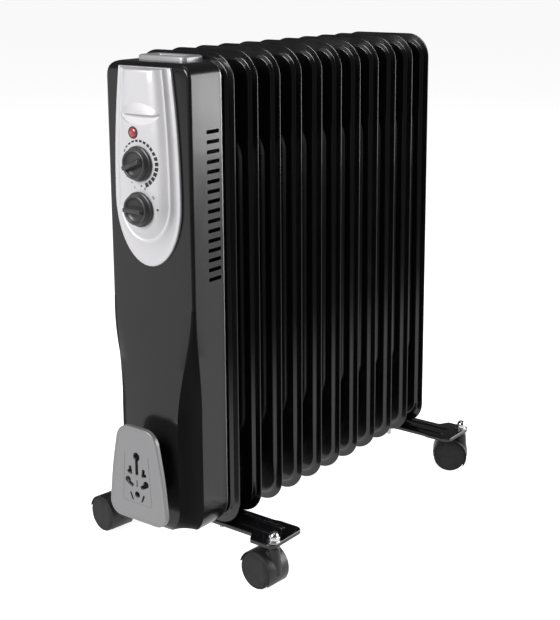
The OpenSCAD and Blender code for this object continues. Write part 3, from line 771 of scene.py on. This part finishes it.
def build_visor(fascia):
    """The eyelid over the pilot lamp and the slanted hollow under its lip."""
    z = middle("pilot_lamp_lens").z + VISOR_ABOVE_LAMP
    upper = lens_arc(z, VISOR_RISE)
    lip = lens_arc(z, 0)
    lower = lens_arc(z, -HOLLOW_DROP)
    mesh, loops = loft([
        [(x, dome_y(x, h) + 0.8, h) for x, h in upper],
        [(x, dome_y(x, h) - 0.03, h) for x, h in upper],
        [(x, dome_y(x, (h + z) / 2) - 1.5 * lid_out(x), (h + z) / 2) for x, h in upper],
        [(x, dome_y(x, z) - LID_OUT * lid_out(x), z + 0.8) for x, h in lip],
        [(x, dome_y(x, z) - LID_OUT * lid_out(x), z) for x, h in lip],
        [(x, dome_y(x, z) + 0.8, z - 0.05) for x, h in lip]], closed=False)
    bmesh.ops.bridge_loops(mesh, edges=loops[0] + loops[-1])
    bmesh.ops.holes_fill(mesh, edges=[edge for edge in mesh.edges if edge.is_boundary])
    tidy(mesh)
    piece("fascia_eyelid", mesh, [SILVER], "heater", (), 40)
    front = dome_y(0, z)
    outline = lower + [(x, h - 0.1) for x, h in reversed(lip[1:-1])]
    hollow = slab(outline, front - 4, front + 1, 0)
    for vert in hollow.verts:
        if vert.co.y > front * MM:
            above = vert.co.z - (z - HOLLOW_DROP) * MM
            vert.co.y = (front + 0.15) * MM + above * HOLLOW_SLOPE
    cut(fascia, hollow)


def mark(mesh, angle, r, length, wide, x0, z0):
    """A printed bar: its middle at an angle and radius about a knob, length round and wide across."""
    a = math.radians(angle)
    corners = []
    for along, out in ((-1, -1), (1, -1), (1, 1), (-1, 1)):
        t = a + along * length / 2 / r
        x = x0 + (r + out * wide / 2) * math.cos(t)
        z = z0 + (r + out * wide / 2) * math.sin(t)
        corners.append(mesh.verts.new(Vector((x, dome_y(x, z) - 0.25, z)) * MM))
    face = mesh.faces.new(corners)
    face.normal_update()
    if face.normal.y > 0:
        face.normal_flip()


def build_dial_marks():
    """Heat scale that thickens round the thermostat, and four marks round the selector."""
    mesh = bmesh.new()
    knob = middle("thermostat_knob")
    for k in range(SCALE_MARKS):
        share = k / SCALE_MARKS
        angle = SCALE_START - SCALE_TURN * k / (SCALE_MARKS - 1)
        mark(mesh, angle, SCALE_R, 3.5 + 1.3 * share, 1.4 + 4 * share, knob.x, knob.z)
    mark(mesh, -140, MARK_R - 0.8, 0.9, 3.0, knob.x, knob.z)
    mark(mesh, -118, MARK_R - 0.2, 2.4, 0.7, knob.x, knob.z)
    mark(mesh, -84, MARK_R - 0.2, 1.9, 1.9, knob.x, knob.z)
    knob = middle("selector_knob")
    for strokes, angle in enumerate((107, 71, 37)):
        for k in range(strokes + 1):
            mark(mesh, angle + 3.4 * (k - strokes / 2), MARK_R, 0.6, 2.8, knob.x, knob.z)
    mark(mesh, 4, MARK_R, 2.2, 2.2, knob.x, knob.z)
    bmesh.ops.solidify(mesh, geom=mesh.faces[:], thickness=0.4 * MM)
    tidy(mesh, 0.001)
    piece("dial_marks", mesh, [INK], "heater")


def build_lamp():
    """Pilot lamp: a dark bezel and a crowned red lens."""
    lens = middle("pilot_lamp_lens")
    r = high("pilot_lamp_lens").x - lens.x
    y = dome_y(lens.x, lens.z)
    bezel = spun([(0, -3), (r + 0.6, -3), (r + 0.6, 0.5), (r + 0.2, 1.0), (r - 0.5, 1.1), (r - 0.9, 0.7),
                  (r - 0.9, -2), (0, -2)], 40)
    place(bezel, Matrix.Rotation(math.radians(180), 4, "X"))
    along_y(bezel, lens.x, y, lens.z)
    piece("lamp_bezel", bezel, [KNOB], "heater")
    crown = spun([(0, -2), (r - 0.95, -2), (r - 0.95, 0.6), (r - 1.5, 1.2), (r * 0.55, 1.9), (r * 0.25, 2.2),
                  (0, 2.3)], 40)
    place(crown, Matrix.Rotation(math.radians(180), 4, "X"))
    along_y(crown, lens.x, y, lens.z)
    piece("lamp_lens", crown, [RED], "heater", ["pilot_lamp_lens"])


# ---- Knobs ----

GRIP_W = 8.6
GRIP_TAPER = 0.62
GRIP_SHORTEN = 0.93
THERMOSTAT_REST = 22


def build_knob(node, body, bar_turn):
    """A knob with a skirt, a stepped ring, a hollow face and a bar grip across it."""
    centre = middle(node)
    r = high(node).x - centre.x
    back = high(node).y
    reach = back - low(node).y
    profile = [(0, 0), (r - 0.3, 0), (r, 0.5), (r, 2.2), (r - 0.4, 2.9), (r - 1.6, 3.3), (r - 2.1, 3.8),
               (r - 2.8, 8.4), (r - 3.2, 9.4), (r - 4.1, 9.9), (r - 5.2, 9.9), (r - 6, 9.5), (r - 6.6, 8.6),
               (r - 8.4, 7.4), (r - 12, 6.4), (0, 6.1)]
    mesh = spun(profile, 72)
    grip = block(2 * (r - 5.4), GRIP_W, reach - 6.5, 1.8, 4)
    for vert in grip.verts:
        if vert.co.z > 0:
            vert.co.y *= GRIP_TAPER
            vert.co.x *= GRIP_SHORTEN
    place(grip, Matrix.Translation((0, 0, (reach + 5.5) / 2 * MM)))
    place(grip, Matrix.Rotation(math.radians(bar_turn), 4, "Z"))
    join(mesh, grip)
    notch = block(3.2, 1.1, 0.5, 0.2, 2)
    place(notch, Matrix.Rotation(math.radians(bar_turn), 4, "Z")
          @ Matrix.Translation(((r - 4.7) * MM, 0, 10 * MM)))
    join(mesh, notch)
    place(mesh, Matrix.Translation(Vector((centre.x, back, centre.z)) * MM)
          @ Matrix.Rotation(math.radians(90), 4, "X"))
    tidy(mesh)
    piece(node.replace("_knob", "_grip"), mesh, [KNOB], body, [node], 35)


def build_knobs():
    """Both knobs, each with its bar at its turn at rest."""
    build_knob("thermostat_knob", "thermostat", THERMOSTAT_REST)
    build_knob("selector_knob", "selector", 0)


# ---- Handle ----


def level_ring(w, d, r, z, centre):
    """A level ring round a rectangle with round corners."""
    return [(centre.x + x, centre.y + y, z) for x, y in round_outline(w, d, r, 8)]


def build_handle():
    """A flat silver frame round the finger pocket, with rolled edges."""
    lo, hi = low("top_handle"), high("top_handle")
    centre = (lo + hi) / 2
    w, d = hi.x - lo.x, hi.y - lo.y
    t = hi.z - lo.z
    y0, y1 = pocket_reach()
    hole = Vector((0, (y0 + y1) / 2, 0))
    section = [(0, 0), (0, t - 2.2), (0.4, t - 1.1), (1.2, t - 0.3), (2.4, t)]
    rings = [level_ring(w - 2 * inwards, d - 2 * inwards, 7 - inwards / 2, lo.z + up, centre)
             for inwards, up in section]
    mouth = [(2.2, t), (1, t - 0.35), (0.3, t - 1.1), (0, t - 2.2), (0, 0)]
    rings += [level_ring(2 * (POCKET_HALF + outwards), y1 - y0 + 2 * outwards, 3 + outwards, lo.z + up, hole)
              for outwards, up in mouth]
    mesh, loops = loft(rings)
    bmesh.ops.bridge_loops(mesh, edges=loops[0] + loops[-1])
    tidy(mesh)
    piece("handle_frame", mesh, [HANDLE_SILVER], "heater", ["top_handle"], 40)


# ---- Cord store ----

PLATE_TOP_W = 66
PLATE_LOW_R = 17
PLATE_TOP_R = 20
PLATE_BULGE = 1.5
SOCKET_DROP = 8
POST_R = 10


def plate_outline(w, top_w, h):
    """Outline of the plate about its middle: round corners, bulged sides, wider near its lower end."""
    lean = math.degrees(math.atan2(w / 2 - top_w / 2, h - PLATE_LOW_R - PLATE_TOP_R))
    arcs = ((w / 2 - PLATE_LOW_R, -h / 2 + PLATE_LOW_R, PLATE_LOW_R, -88, lean),
            (top_w / 2 - PLATE_TOP_R, h / 2 - PLATE_TOP_R, PLATE_TOP_R, lean, 88))
    right = []
    for x, z, r, start, stop in arcs:
        for k in range(11):
            a = math.radians(blend(start, stop, k / 10))
            right.append((x + r * math.cos(a), z + r * math.sin(a)))
    (x0, z0), (x1, z1) = right[10], right[11]
    side = []
    for k in range(1, 8):
        out = PLATE_BULGE * math.sin(math.pi * k / 8)
        side.append((blend(x0, x1, k / 8) + out, blend(z0, z1, k / 8)))
    right = right[:11] + side + right[11:]
    return right + [(-x, z) for x, z in reversed(right)]


def socket_cutter(y, z):
    """Everything that is cut through the plate for a stored plug's pins."""
    mesh = bmesh.new()
    deep = 12

    def hole(outline, x, h, turned=0):
        """Adds one opening, a distance x across and h up from the middle."""
        shape = slab(outline, -deep / 2, deep / 2, 0)
        place(shape, Matrix.Rotation(math.radians(-turned), 4, "Y"))
        place(shape, Matrix.Translation(Vector((x, y, z + h)) * MM))
        join(mesh, shape)

    hole(round_outline(10.5, 10.5, 5.2, 8), 0, 31)
    hole(round_outline(4.6, 21, 1.2, 3), 0, 18)
    hole(round_outline(1.6, 9, 0.7, 3), 0, -3)
    hole(round_outline(8, 8, 3.9, 8), 0, -17)
    for side in (-1, 1):
        hole(round_outline(4.5, 8, 1.8, 4), side * 10.5, 13.5, side * -12)
        hole(round_outline(8, 4.4, 1.8, 4), side * 11.5, 9.5, side * 18)
        hole(round_outline(8.6, 8.6, 4.2, 8), side * 14.5, -1)
        hole(round_outline(10, 5, 2.2, 5), side * 10.5, -5, side * 24)
        hole(round_outline(2.6, 10.5, 1.1, 3), side * 9, -20.5, side * -24)
    return mesh


def crease_cutter(y, mid):
    """Fine lines that frame the plate's holes on three sides."""
    crease = bmesh.new()
    for side in (-1, 1):
        line = block(0.8, 0.5, 62, 0.2, 1)
        place(line, Matrix.Translation(Vector((side * 21, y, mid - 5)) * MM)
              @ Matrix.Rotation(math.radians(side * -4), 4, "Y"))
        join(crease, line)
    line = block(44, 0.5, 0.8, 0.2, 1)
    join(crease, place(line, Matrix.Translation(Vector((0, y, mid - 36)) * MM)))
    return crease


def build_cord_plate():
    """The silver plate that keeps a wound cord on its post."""
    lo, hi = low("cord_store_plate"), high("cord_store_plate")
    w, h, t = hi.x - lo.x, hi.z - lo.z, hi.y - lo.y
    mid = (lo.z + hi.z) / 2
    outline = plate_outline(w, PLATE_TOP_W, h)
    mesh = bmesh.new()
    face = front_face(mesh, outline, hi.y, (0, mid))
    press(mesh, face, [(0.01, t - 1.6)])
    press(mesh, face, round_over(1.2))
    press(mesh, face, [(0.5, 0.2), (0.9, 0), (0.5, -0.35), (2.5, -0.1), (8, 0.15)])
    back = front_face(mesh, outline, hi.y, (0, mid))
    back.normal_flip()
    tidy(mesh)
    plate = piece("cord_plate", mesh, [GREY_SILVER], "heater", ["cord_store_plate"], 40)
    cut(plate, socket_cutter(lo.y, mid - SOCKET_DROP))
    cut(plate, crease_cutter(lo.y + 0.62, mid))


def build_cord_post():
    """The post behind the plate, a little wider where it meets the housing."""
    lo, hi = low("cord_store_post"), high("cord_store_post")
    outline = round_outline(hi.x - lo.x, hi.z - lo.z, POST_R)
    centre = (0, (lo.z + hi.z) / 2)
    post = bmesh.new()
    face = front_face(post, outline, hi.y, centre)
    press(post, face, [(0.01, 3)])
    press(post, face, s_curve(2, 2, 4))
    press(post, face, [(0.01, hi.y - lo.y - 5.05)])
    back = front_face(post, outline, hi.y, centre)
    back.normal_flip()
    tidy(post)
    piece("cord_post", post, [TEXTURED], "heater", ["cord_store_post"], 40)


# ---- Feet ----

BRACKET_T = 1.5
BRACKET_W = 46
PAD_INNER = 25.0
PAD_LENGTH = 40
PAD_R = 9
RIB_START = 47
RIB_END_GAP = 18
RIB_ACROSS = 10
RIB_W = 6
NUT_IN = 14
NUT_R = 7.4
NUT_H = 5
DOME_R = 6.2


def bracket_outline(w, pad_up, pad_down, pad_start, pad_end):
    """Plan of a bracket: a channel that widens in soft steps to a pad at each end."""

    def edge(reach):
        """One long edge from the channel out to the pad's rounded corner."""
        step = [(pad_start - 5 + 12 * k / 8, blend(w / 2, reach, smooth(k / 8))) for k in range(9)]
        corner = []
        for k in range(7):
            a = math.radians(90 - 90 * k / 6)
            corner.append((pad_end - PAD_R + PAD_R * math.cos(a), reach - PAD_R + PAD_R * math.sin(a)))
        return step + corner

    right = edge(pad_up) + [(x, -y) for x, y in reversed(edge(pad_down))]
    return right + [(-x, y) for x, y in reversed(right)]


def flat_face(mesh, points, z, centre, up=True):
    """A level face at height z, drawn as X and Y points about centre."""
    verts = [mesh.verts.new(Vector((centre[0] + x, centre[1] + y, z)) * MM) for x, y in points]
    face = mesh.faces.new(verts)
    face.normal_update()
    if (face.normal.z > 0) != up:
        face.normal_flip()
    return face


def bracket_rib(x0, x1, y, z):
    """A raised rib pressed into the bracket, between two X values."""
    rib = bmesh.new()
    outline = round_outline(x1 - x0, RIB_W, 2.9, 6)
    centre = ((x0 + x1) / 2, y)
    face = flat_face(rib, outline, z, centre)
    press(rib, face, [(0.3, 0.5), (0.5, 0.5), (0.6, 0.4), (0.7, 0.2)])
    flat_face(rib, outline, z, centre, up=False)
    return tidy(rib)


def build_bracket(node):
    """A pressed steel bracket: turned-down edges, a pad at each end and ribs between."""
    lo, hi = low(node), high(node)
    y = hi.y - PAD_INNER if node.endswith("front") else lo.y + PAD_INNER
    level = high("pin_washers").z - BRACKET_T
    outline = bracket_outline(BRACKET_W, hi.y - y, y - lo.y, hi.x - PAD_LENGTH, hi.x)
    mesh = bmesh.new()
    top = flat_face(mesh, outline, lo.z, (0, y))
    press(mesh, top, [(0.01, level - lo.z - 1.5)])
    press(mesh, top, round_over(1.5))
    under = flat_face(mesh, outline, lo.z, (0, y), up=False)
    press(mesh, under, [(0.4, 0), (BRACKET_T - 0.4, 0), (0.01, lo.z - level + BRACKET_T)])
    tidy(mesh)
    stop = hi.x - RIB_END_GAP
    for x0, x1 in ((-RIB_START, -stop), (RIB_START, stop)):
        for across in (-RIB_ACROSS, RIB_ACROSS):
            join(mesh, bracket_rib(min(x0, x1), max(x0, x1), y + across, level - 0.3))
    name = node.replace("foot_bracket", "pressed_bracket")
    piece(name, mesh, [ENAMEL], "heater", [node], 40)


def build_brackets():
    """The front and the rear bracket."""
    for node in ("foot_bracket_front", "foot_bracket_rear"):
        build_bracket(node)


def build_wing_nuts():
    """Pressed wing nuts under the brackets."""
    for node in ("wing_nuts_front", "wing_nuts_rear"):
        lo, hi = low(node), high(node)
        y = (lo.y + hi.y) / 2
        mesh = bmesh.new()
        for x in (lo.x + NUT_IN, hi.x - NUT_IN):
            nut = spun([(3, -9), (4.6, -9), (5.4, -8), (6.4, -1), (6.4, -0.3), (6.1, 0), (3, 0),
                        (3, -9)], 32)
            for side in (-1, 1):
                wing = block(9, 2, 8, 0.9, 3)
                for vert in wing.verts:
                    if vert.co.z < 0:
                        vert.co.x += 2 * MM
                mirror = Matrix.Diagonal((side, 1, 1, 1))
                place(wing, mirror @ Matrix.Translation(Vector((8.5, 0, -5)) * MM))
                join(nut, tidy(wing))
            join(mesh, place(nut, Matrix.Translation(Vector((x, y, hi.z)) * MM)))
        tidy(mesh)
        piece(node.replace("wing_nuts", "winged_nuts"), mesh, [STEEL], "heater", [node], 35)


def cap_nut(height):
    """A hexagonal nut with a polished dome over its top."""
    nut = bmesh.new()
    bmesh.ops.create_cone(nut, cap_ends=True, segments=6, radius1=NUT_R * MM, radius2=NUT_R * MM,
                          depth=NUT_H * MM)
    bmesh.ops.bevel(nut, geom=nut.edges[:], offset=0.5 * MM, affect="EDGES", segments=3, profile=0.5,
                    material=-1)
    place(nut, Matrix.Translation((0, 0, NUT_H / 2 * MM)))
    angles = [math.radians(9 * k) for k in range(1, 11)]
    dome = [(0, 4), (DOME_R, 4.5)]
    dome += [(DOME_R * math.cos(a), 4.6 + (height - 4.6) * math.sin(a)) for a in angles]
    return join(nut, spun(dome, 40))


def build_dome_nuts():
    """Polished cap nuts over the caster pins."""
    base = high("pin_washers").z
    height = high("dome_nuts").z - base
    mesh = bmesh.new()
    for corner in CORNERS:
        at = caster_at(corner)[0]
        join(mesh, place(cap_nut(height), Matrix.Translation(Vector((at.x, at.y, base)) * MM)))
    tidy(mesh)
    piece("cap_nuts", mesh, [CHROME], "heater", ["dome_nuts"], 35)


# ---- Casters ----

DISC_INSIDE = 9.8
DISC_OUTSIDE = 17.1
FENDER_HALF = 17.2
FENDER_START = 12
FENDER_STOP = 218
WEB_HALF = 8.7
WEB_R = 24.2
PIN_BORE_R = 4.1


def caster_at(corner):
    """Where a caster's swivel axis and wheel axle are, in millimetres."""
    joints = {joint["name"]: Vector(joint["pos_m"]) / MM for joint in frame["joints"]}
    return joints[f"swivel_{CORNER_NAMES[corner]}"], joints[f"roll_{CORNER_NAMES[corner]}"]


def disc(r, inside, outside):
    """A wheel disc from inside to outside, measured out along the axle, about Z."""
    return spun([(0, inside), (r - 1.2, inside), (r - 0.3, inside + 0.5), (r, inside + 1.4),
                 (r, outside - 1.7), (r - 0.4, outside - 0.7), (r - 1.3, outside - 0.25),
                 (r - 2.4, outside - 0.15), (r - 2.7, outside - 0.55), (r - 3.2, outside - 0.55),
                 (r - 3.5, outside - 0.1), (r - 5.4, outside), (r - 5.6, outside - 0.25),
                 (r - 6, outside - 0.25), (r - 6.2, outside - 0.02), (0, outside)], 72)


def build_wheels(corner, turn, axle):
    """The two discs of a caster."""
    node = f"caster_wheels_{corner}"
    mesh = bmesh.new()
    for side in (-1, 1):
        wheel = disc(axle.z, DISC_INSIDE, DISC_OUTSIDE)
        place(wheel, turn @ Matrix.Rotation(math.radians(side * 90), 4, "X"))
        join(mesh, wheel)
    place(mesh, Matrix.Translation(axle * MM))
    tidy(mesh)
    piece(f"wheel_discs_{corner}", mesh, [DISC], f"wheels_{CORNER_NAMES[corner]}", [node], 30)


def arch_outline(outer, inner, start, stop, steps=40):
    """Side view of the fender about the axle: an arch with slanted tips."""
    out = [math.radians(start + (stop - start) * k / steps) for k in range(steps + 1)]
    ins = [math.radians(start + 7 + (stop - start - 14) * k / steps) for k in range(steps + 1)]
    points = [(outer * math.cos(a), outer * math.sin(a)) for a in out]
    return points + [(inner * math.cos(a), inner * math.sin(a)) for a in reversed(ins)]


def build_hood(corner, turn, swivel, axle):
    """Hood: a fender over both discs, a web between them and a socket round the pin."""
    node = f"caster_hood_{corner}"
    r = axle.z
    trail = Vector((axle.x - swivel.x, axle.y - swivel.y, 0)).length
    top = high(node).z
    fender = arch_outline(r + 2.0, r + 0.7, FENDER_START, FENDER_STOP)
    mesh = slab(fender, -FENDER_HALF, FENDER_HALF, 0.4, (trail, r), 2)
    angles = [math.radians(a) for a in range(-10, FENDER_STOP + 1, 6)]
    web = [(WEB_R * math.cos(a), WEB_R * math.sin(a)) for a in angles]
    join(mesh, slab(web, -WEB_HALF, WEB_HALF, 0.5, (trail, r), 2))
    socket = spun([(PIN_BORE_R, r - 3), (10, r - 3), (9.6, r + 6), (8.2, r + 15), (7.4, top - 4),
                   (7.2, top - 1), (6.6, top - 0.2), (5.8, top), (PIN_BORE_R, top),
                   (PIN_BORE_R, r - 3)], 40)
    join(mesh, socket)
    rib = block(7, 17, top - r - 6, 1.2, 2)
    join(mesh, place(rib, Matrix.Translation(Vector((3.5, 0, (top + r - 4) / 2 - 1)) * MM)))
    place(mesh, Matrix.Translation(Vector((swivel.x, swivel.y, 0)) * MM) @ turn)
    tidy(mesh)
    body = f"swivel_{CORNER_NAMES[corner]}"
    piece(f"caster_shell_{corner}", mesh, [HOOD], body, [node], 35)


def build_casters():
    """The hood and the discs at every corner, turned as the caster rests."""
    for corner in CORNERS:
        swivel, axle = caster_at(corner)
        turn = Matrix.Rotation(math.atan2(axle.y - swivel.y, axle.x - swivel.x), 4, "Z")
        build_wheels(corner, turn, axle)
        build_hood(corner, turn, swivel, axle)


# ---- Stage ----

LENS = 71.8955
SHIFT_UP = -0.145323
CAMERA_FROM_FIRST_FIN = (974.9, -1088.5, 744.7)
CAMERA_AZIMUTH = 37.5
CAMERA_RISE = 11.89
CAMERA_ROLL = -0.357
DARKER_TOWARDS = (0.75, -0.66, 0)
FADE_START = 0.5
FADE_END = 1.0
FLOOR_GLOW = 0.88
REFLECTED_GLOW = 0.85
REFLECTED_DARK = 0.08
SURROUND_LIGHT = 0.07


def build_camera():
    """Camera at the front right corner, a little above the heater."""
    data = bpy.data.cameras.new("camera")
    data.sensor_width = 36
    data.lens = LENS
    data.shift_y = SHIFT_UP
    camera = bpy.data.objects.new("camera", data)
    first_fin = middle("fin_02").y - (middle("fin_10").y - middle("fin_02").y) / 8
    azimuth, elevation, roll = (math.radians(a) for a in (CAMERA_AZIMUTH, CAMERA_RISE, CAMERA_ROLL))
    back = Vector((math.sin(azimuth) * math.cos(elevation), -math.cos(azimuth) * math.cos(elevation),
                   math.sin(elevation)))
    turn = back.to_track_quat("Z", "Y").to_matrix().to_4x4() @ Matrix.Rotation(roll, 4, "Z")
    x, y, z = CAMERA_FROM_FIRST_FIN
    camera.matrix_world = Matrix.Translation(Vector((x, y + first_fin, z)) * MM) @ turn
    bpy.context.scene.collection.objects.link(camera)
    bpy.context.scene.camera = camera


def soft_box(name, place_at, aim, size, power):
    """A rectangular light, size in metres, that looks from one place at another."""
    data = bpy.data.lights.new(name, "AREA")
    data.shape = "RECTANGLE"
    data.size, data.size_y = size
    data.energy = power
    light = bpy.data.objects.new(name, data)
    light.location = place_at
    light.rotation_euler = (Vector(aim) - Vector(place_at)).to_track_quat("-Z", "Y").to_euler()
    bpy.context.scene.collection.objects.link(light)


def floor_material():
    """White to the eye; to the heater's own reflections it darkens towards the front right."""
    material, shader = node_material("pale_floor", (0.9, 0.9, 0.9), 0.85, specular=0.1)
    shader.inputs["Emission Color"].default_value = (1, 1, 1, 1)
    shader.inputs["Emission Strength"].default_value = FLOOR_GLOW
    vary_roughness(material, shader, noise(material, 2, 2), 0.8, 0.9)
    tree = material.node_tree
    where = tree.nodes.new("ShaderNodeTexCoord")
    across = tree.nodes.new("ShaderNodeVectorMath")
    across.operation = "DOT_PRODUCT"
    across.inputs[1].default_value = DARKER_TOWARDS
    fade = tree.nodes.new("ShaderNodeMapRange")
    fade.interpolation_type = "SMOOTHSTEP"
    fade.inputs["From Min"].default_value = FADE_START
    fade.inputs["From Max"].default_value = FADE_END
    fade.inputs["To Min"].default_value = REFLECTED_GLOW
    fade.inputs["To Max"].default_value = REFLECTED_DARK
    glow = tree.nodes.new("ShaderNodeEmission")
    path = tree.nodes.new("ShaderNodeLightPath")
    mix = tree.nodes.new("ShaderNodeMixShader")
    tree.links.new(where.outputs["Object"], across.inputs[0])
    tree.links.new(across.outputs["Value"], fade.inputs["Value"])
    tree.links.new(fade.outputs["Result"], glow.inputs["Strength"])
    tree.links.new(path.outputs["Is Camera Ray"], mix.inputs["Fac"])
    tree.links.new(glow.outputs["Emission"], mix.inputs[1])
    tree.links.new(shader.outputs["BSDF"], mix.inputs[2])
    tree.links.new(mix.outputs["Shader"], tree.nodes["Material Output"].inputs["Surface"])
    return material


def build_floor():
    """A plain pale floor that reaches past every view."""
    mesh = bmesh.new()
    bmesh.ops.create_grid(mesh, x_segments=8, y_segments=8, size=60)
    data = bpy.data.meshes.new("floor")
    mesh.to_mesh(data)
    mesh.free()
    data.materials.append(floor_material())
    floor = bpy.data.objects.new("floor", data)
    bpy.context.scene.collection.objects.link(floor)


def build_surroundings():
    """White surroundings for the eye and dim ones for light and reflections."""
    world = bpy.data.worlds.new("studio")
    bpy.context.scene.world = world
    world.use_nodes = True
    tree = world.node_tree
    light = tree.nodes["Background"]
    light.inputs["Color"].default_value = (1, 1, 1, 1)
    light.inputs["Strength"].default_value = SURROUND_LIGHT
    seen = tree.nodes.new("ShaderNodeBackground")
    seen.inputs["Color"].default_value = (1, 1, 1, 1)
    seen.inputs["Strength"].default_value = 1.0
    path = tree.nodes.new("ShaderNodeLightPath")
    mix = tree.nodes.new("ShaderNodeMixShader")
    tree.links.new(path.outputs["Is Camera Ray"], mix.inputs["Fac"])
    tree.links.new(light.outputs["Background"], mix.inputs[1])
    tree.links.new(seen.outputs["Background"], mix.inputs[2])
    tree.links.new(mix.outputs["Shader"], tree.nodes["World Output"].inputs["Surface"])


def build_stage():
    """Pale floor, white surroundings and three soft boxes, shown without a film look."""
    build_floor()
    build_surroundings()
    soft_box("right_softbox", (1.9, 2.0, 0.85), (0, 0, 0.35), (2.4, 1.6), 66)
    soft_box("front_softbox", (-0.4, -2.6, 1.7), (0, 0, 0.35), (1.4, 1.4), 78)
    soft_box("top_softbox", (0.2, -0.2, 2.8), (0, 0, 0.3), (2.6, 2.6), 12)
    scene = bpy.context.scene
    scene.view_settings.view_transform = "Standard"
    scene.view_settings.look = "None"
    scene.view_settings.exposure = 0
    scene.view_settings.gamma = 1


build_camera()
build_stage()
finish_cad_nodes()
build_fins()
build_housing()
build_visor(build_fascia())
build_dial_marks()
build_lamp()
build_knobs()
build_handle()
build_cord_plate()
build_cord_post()
build_brackets()
build_wing_nuts()
build_dome_nuts()
build_casters()
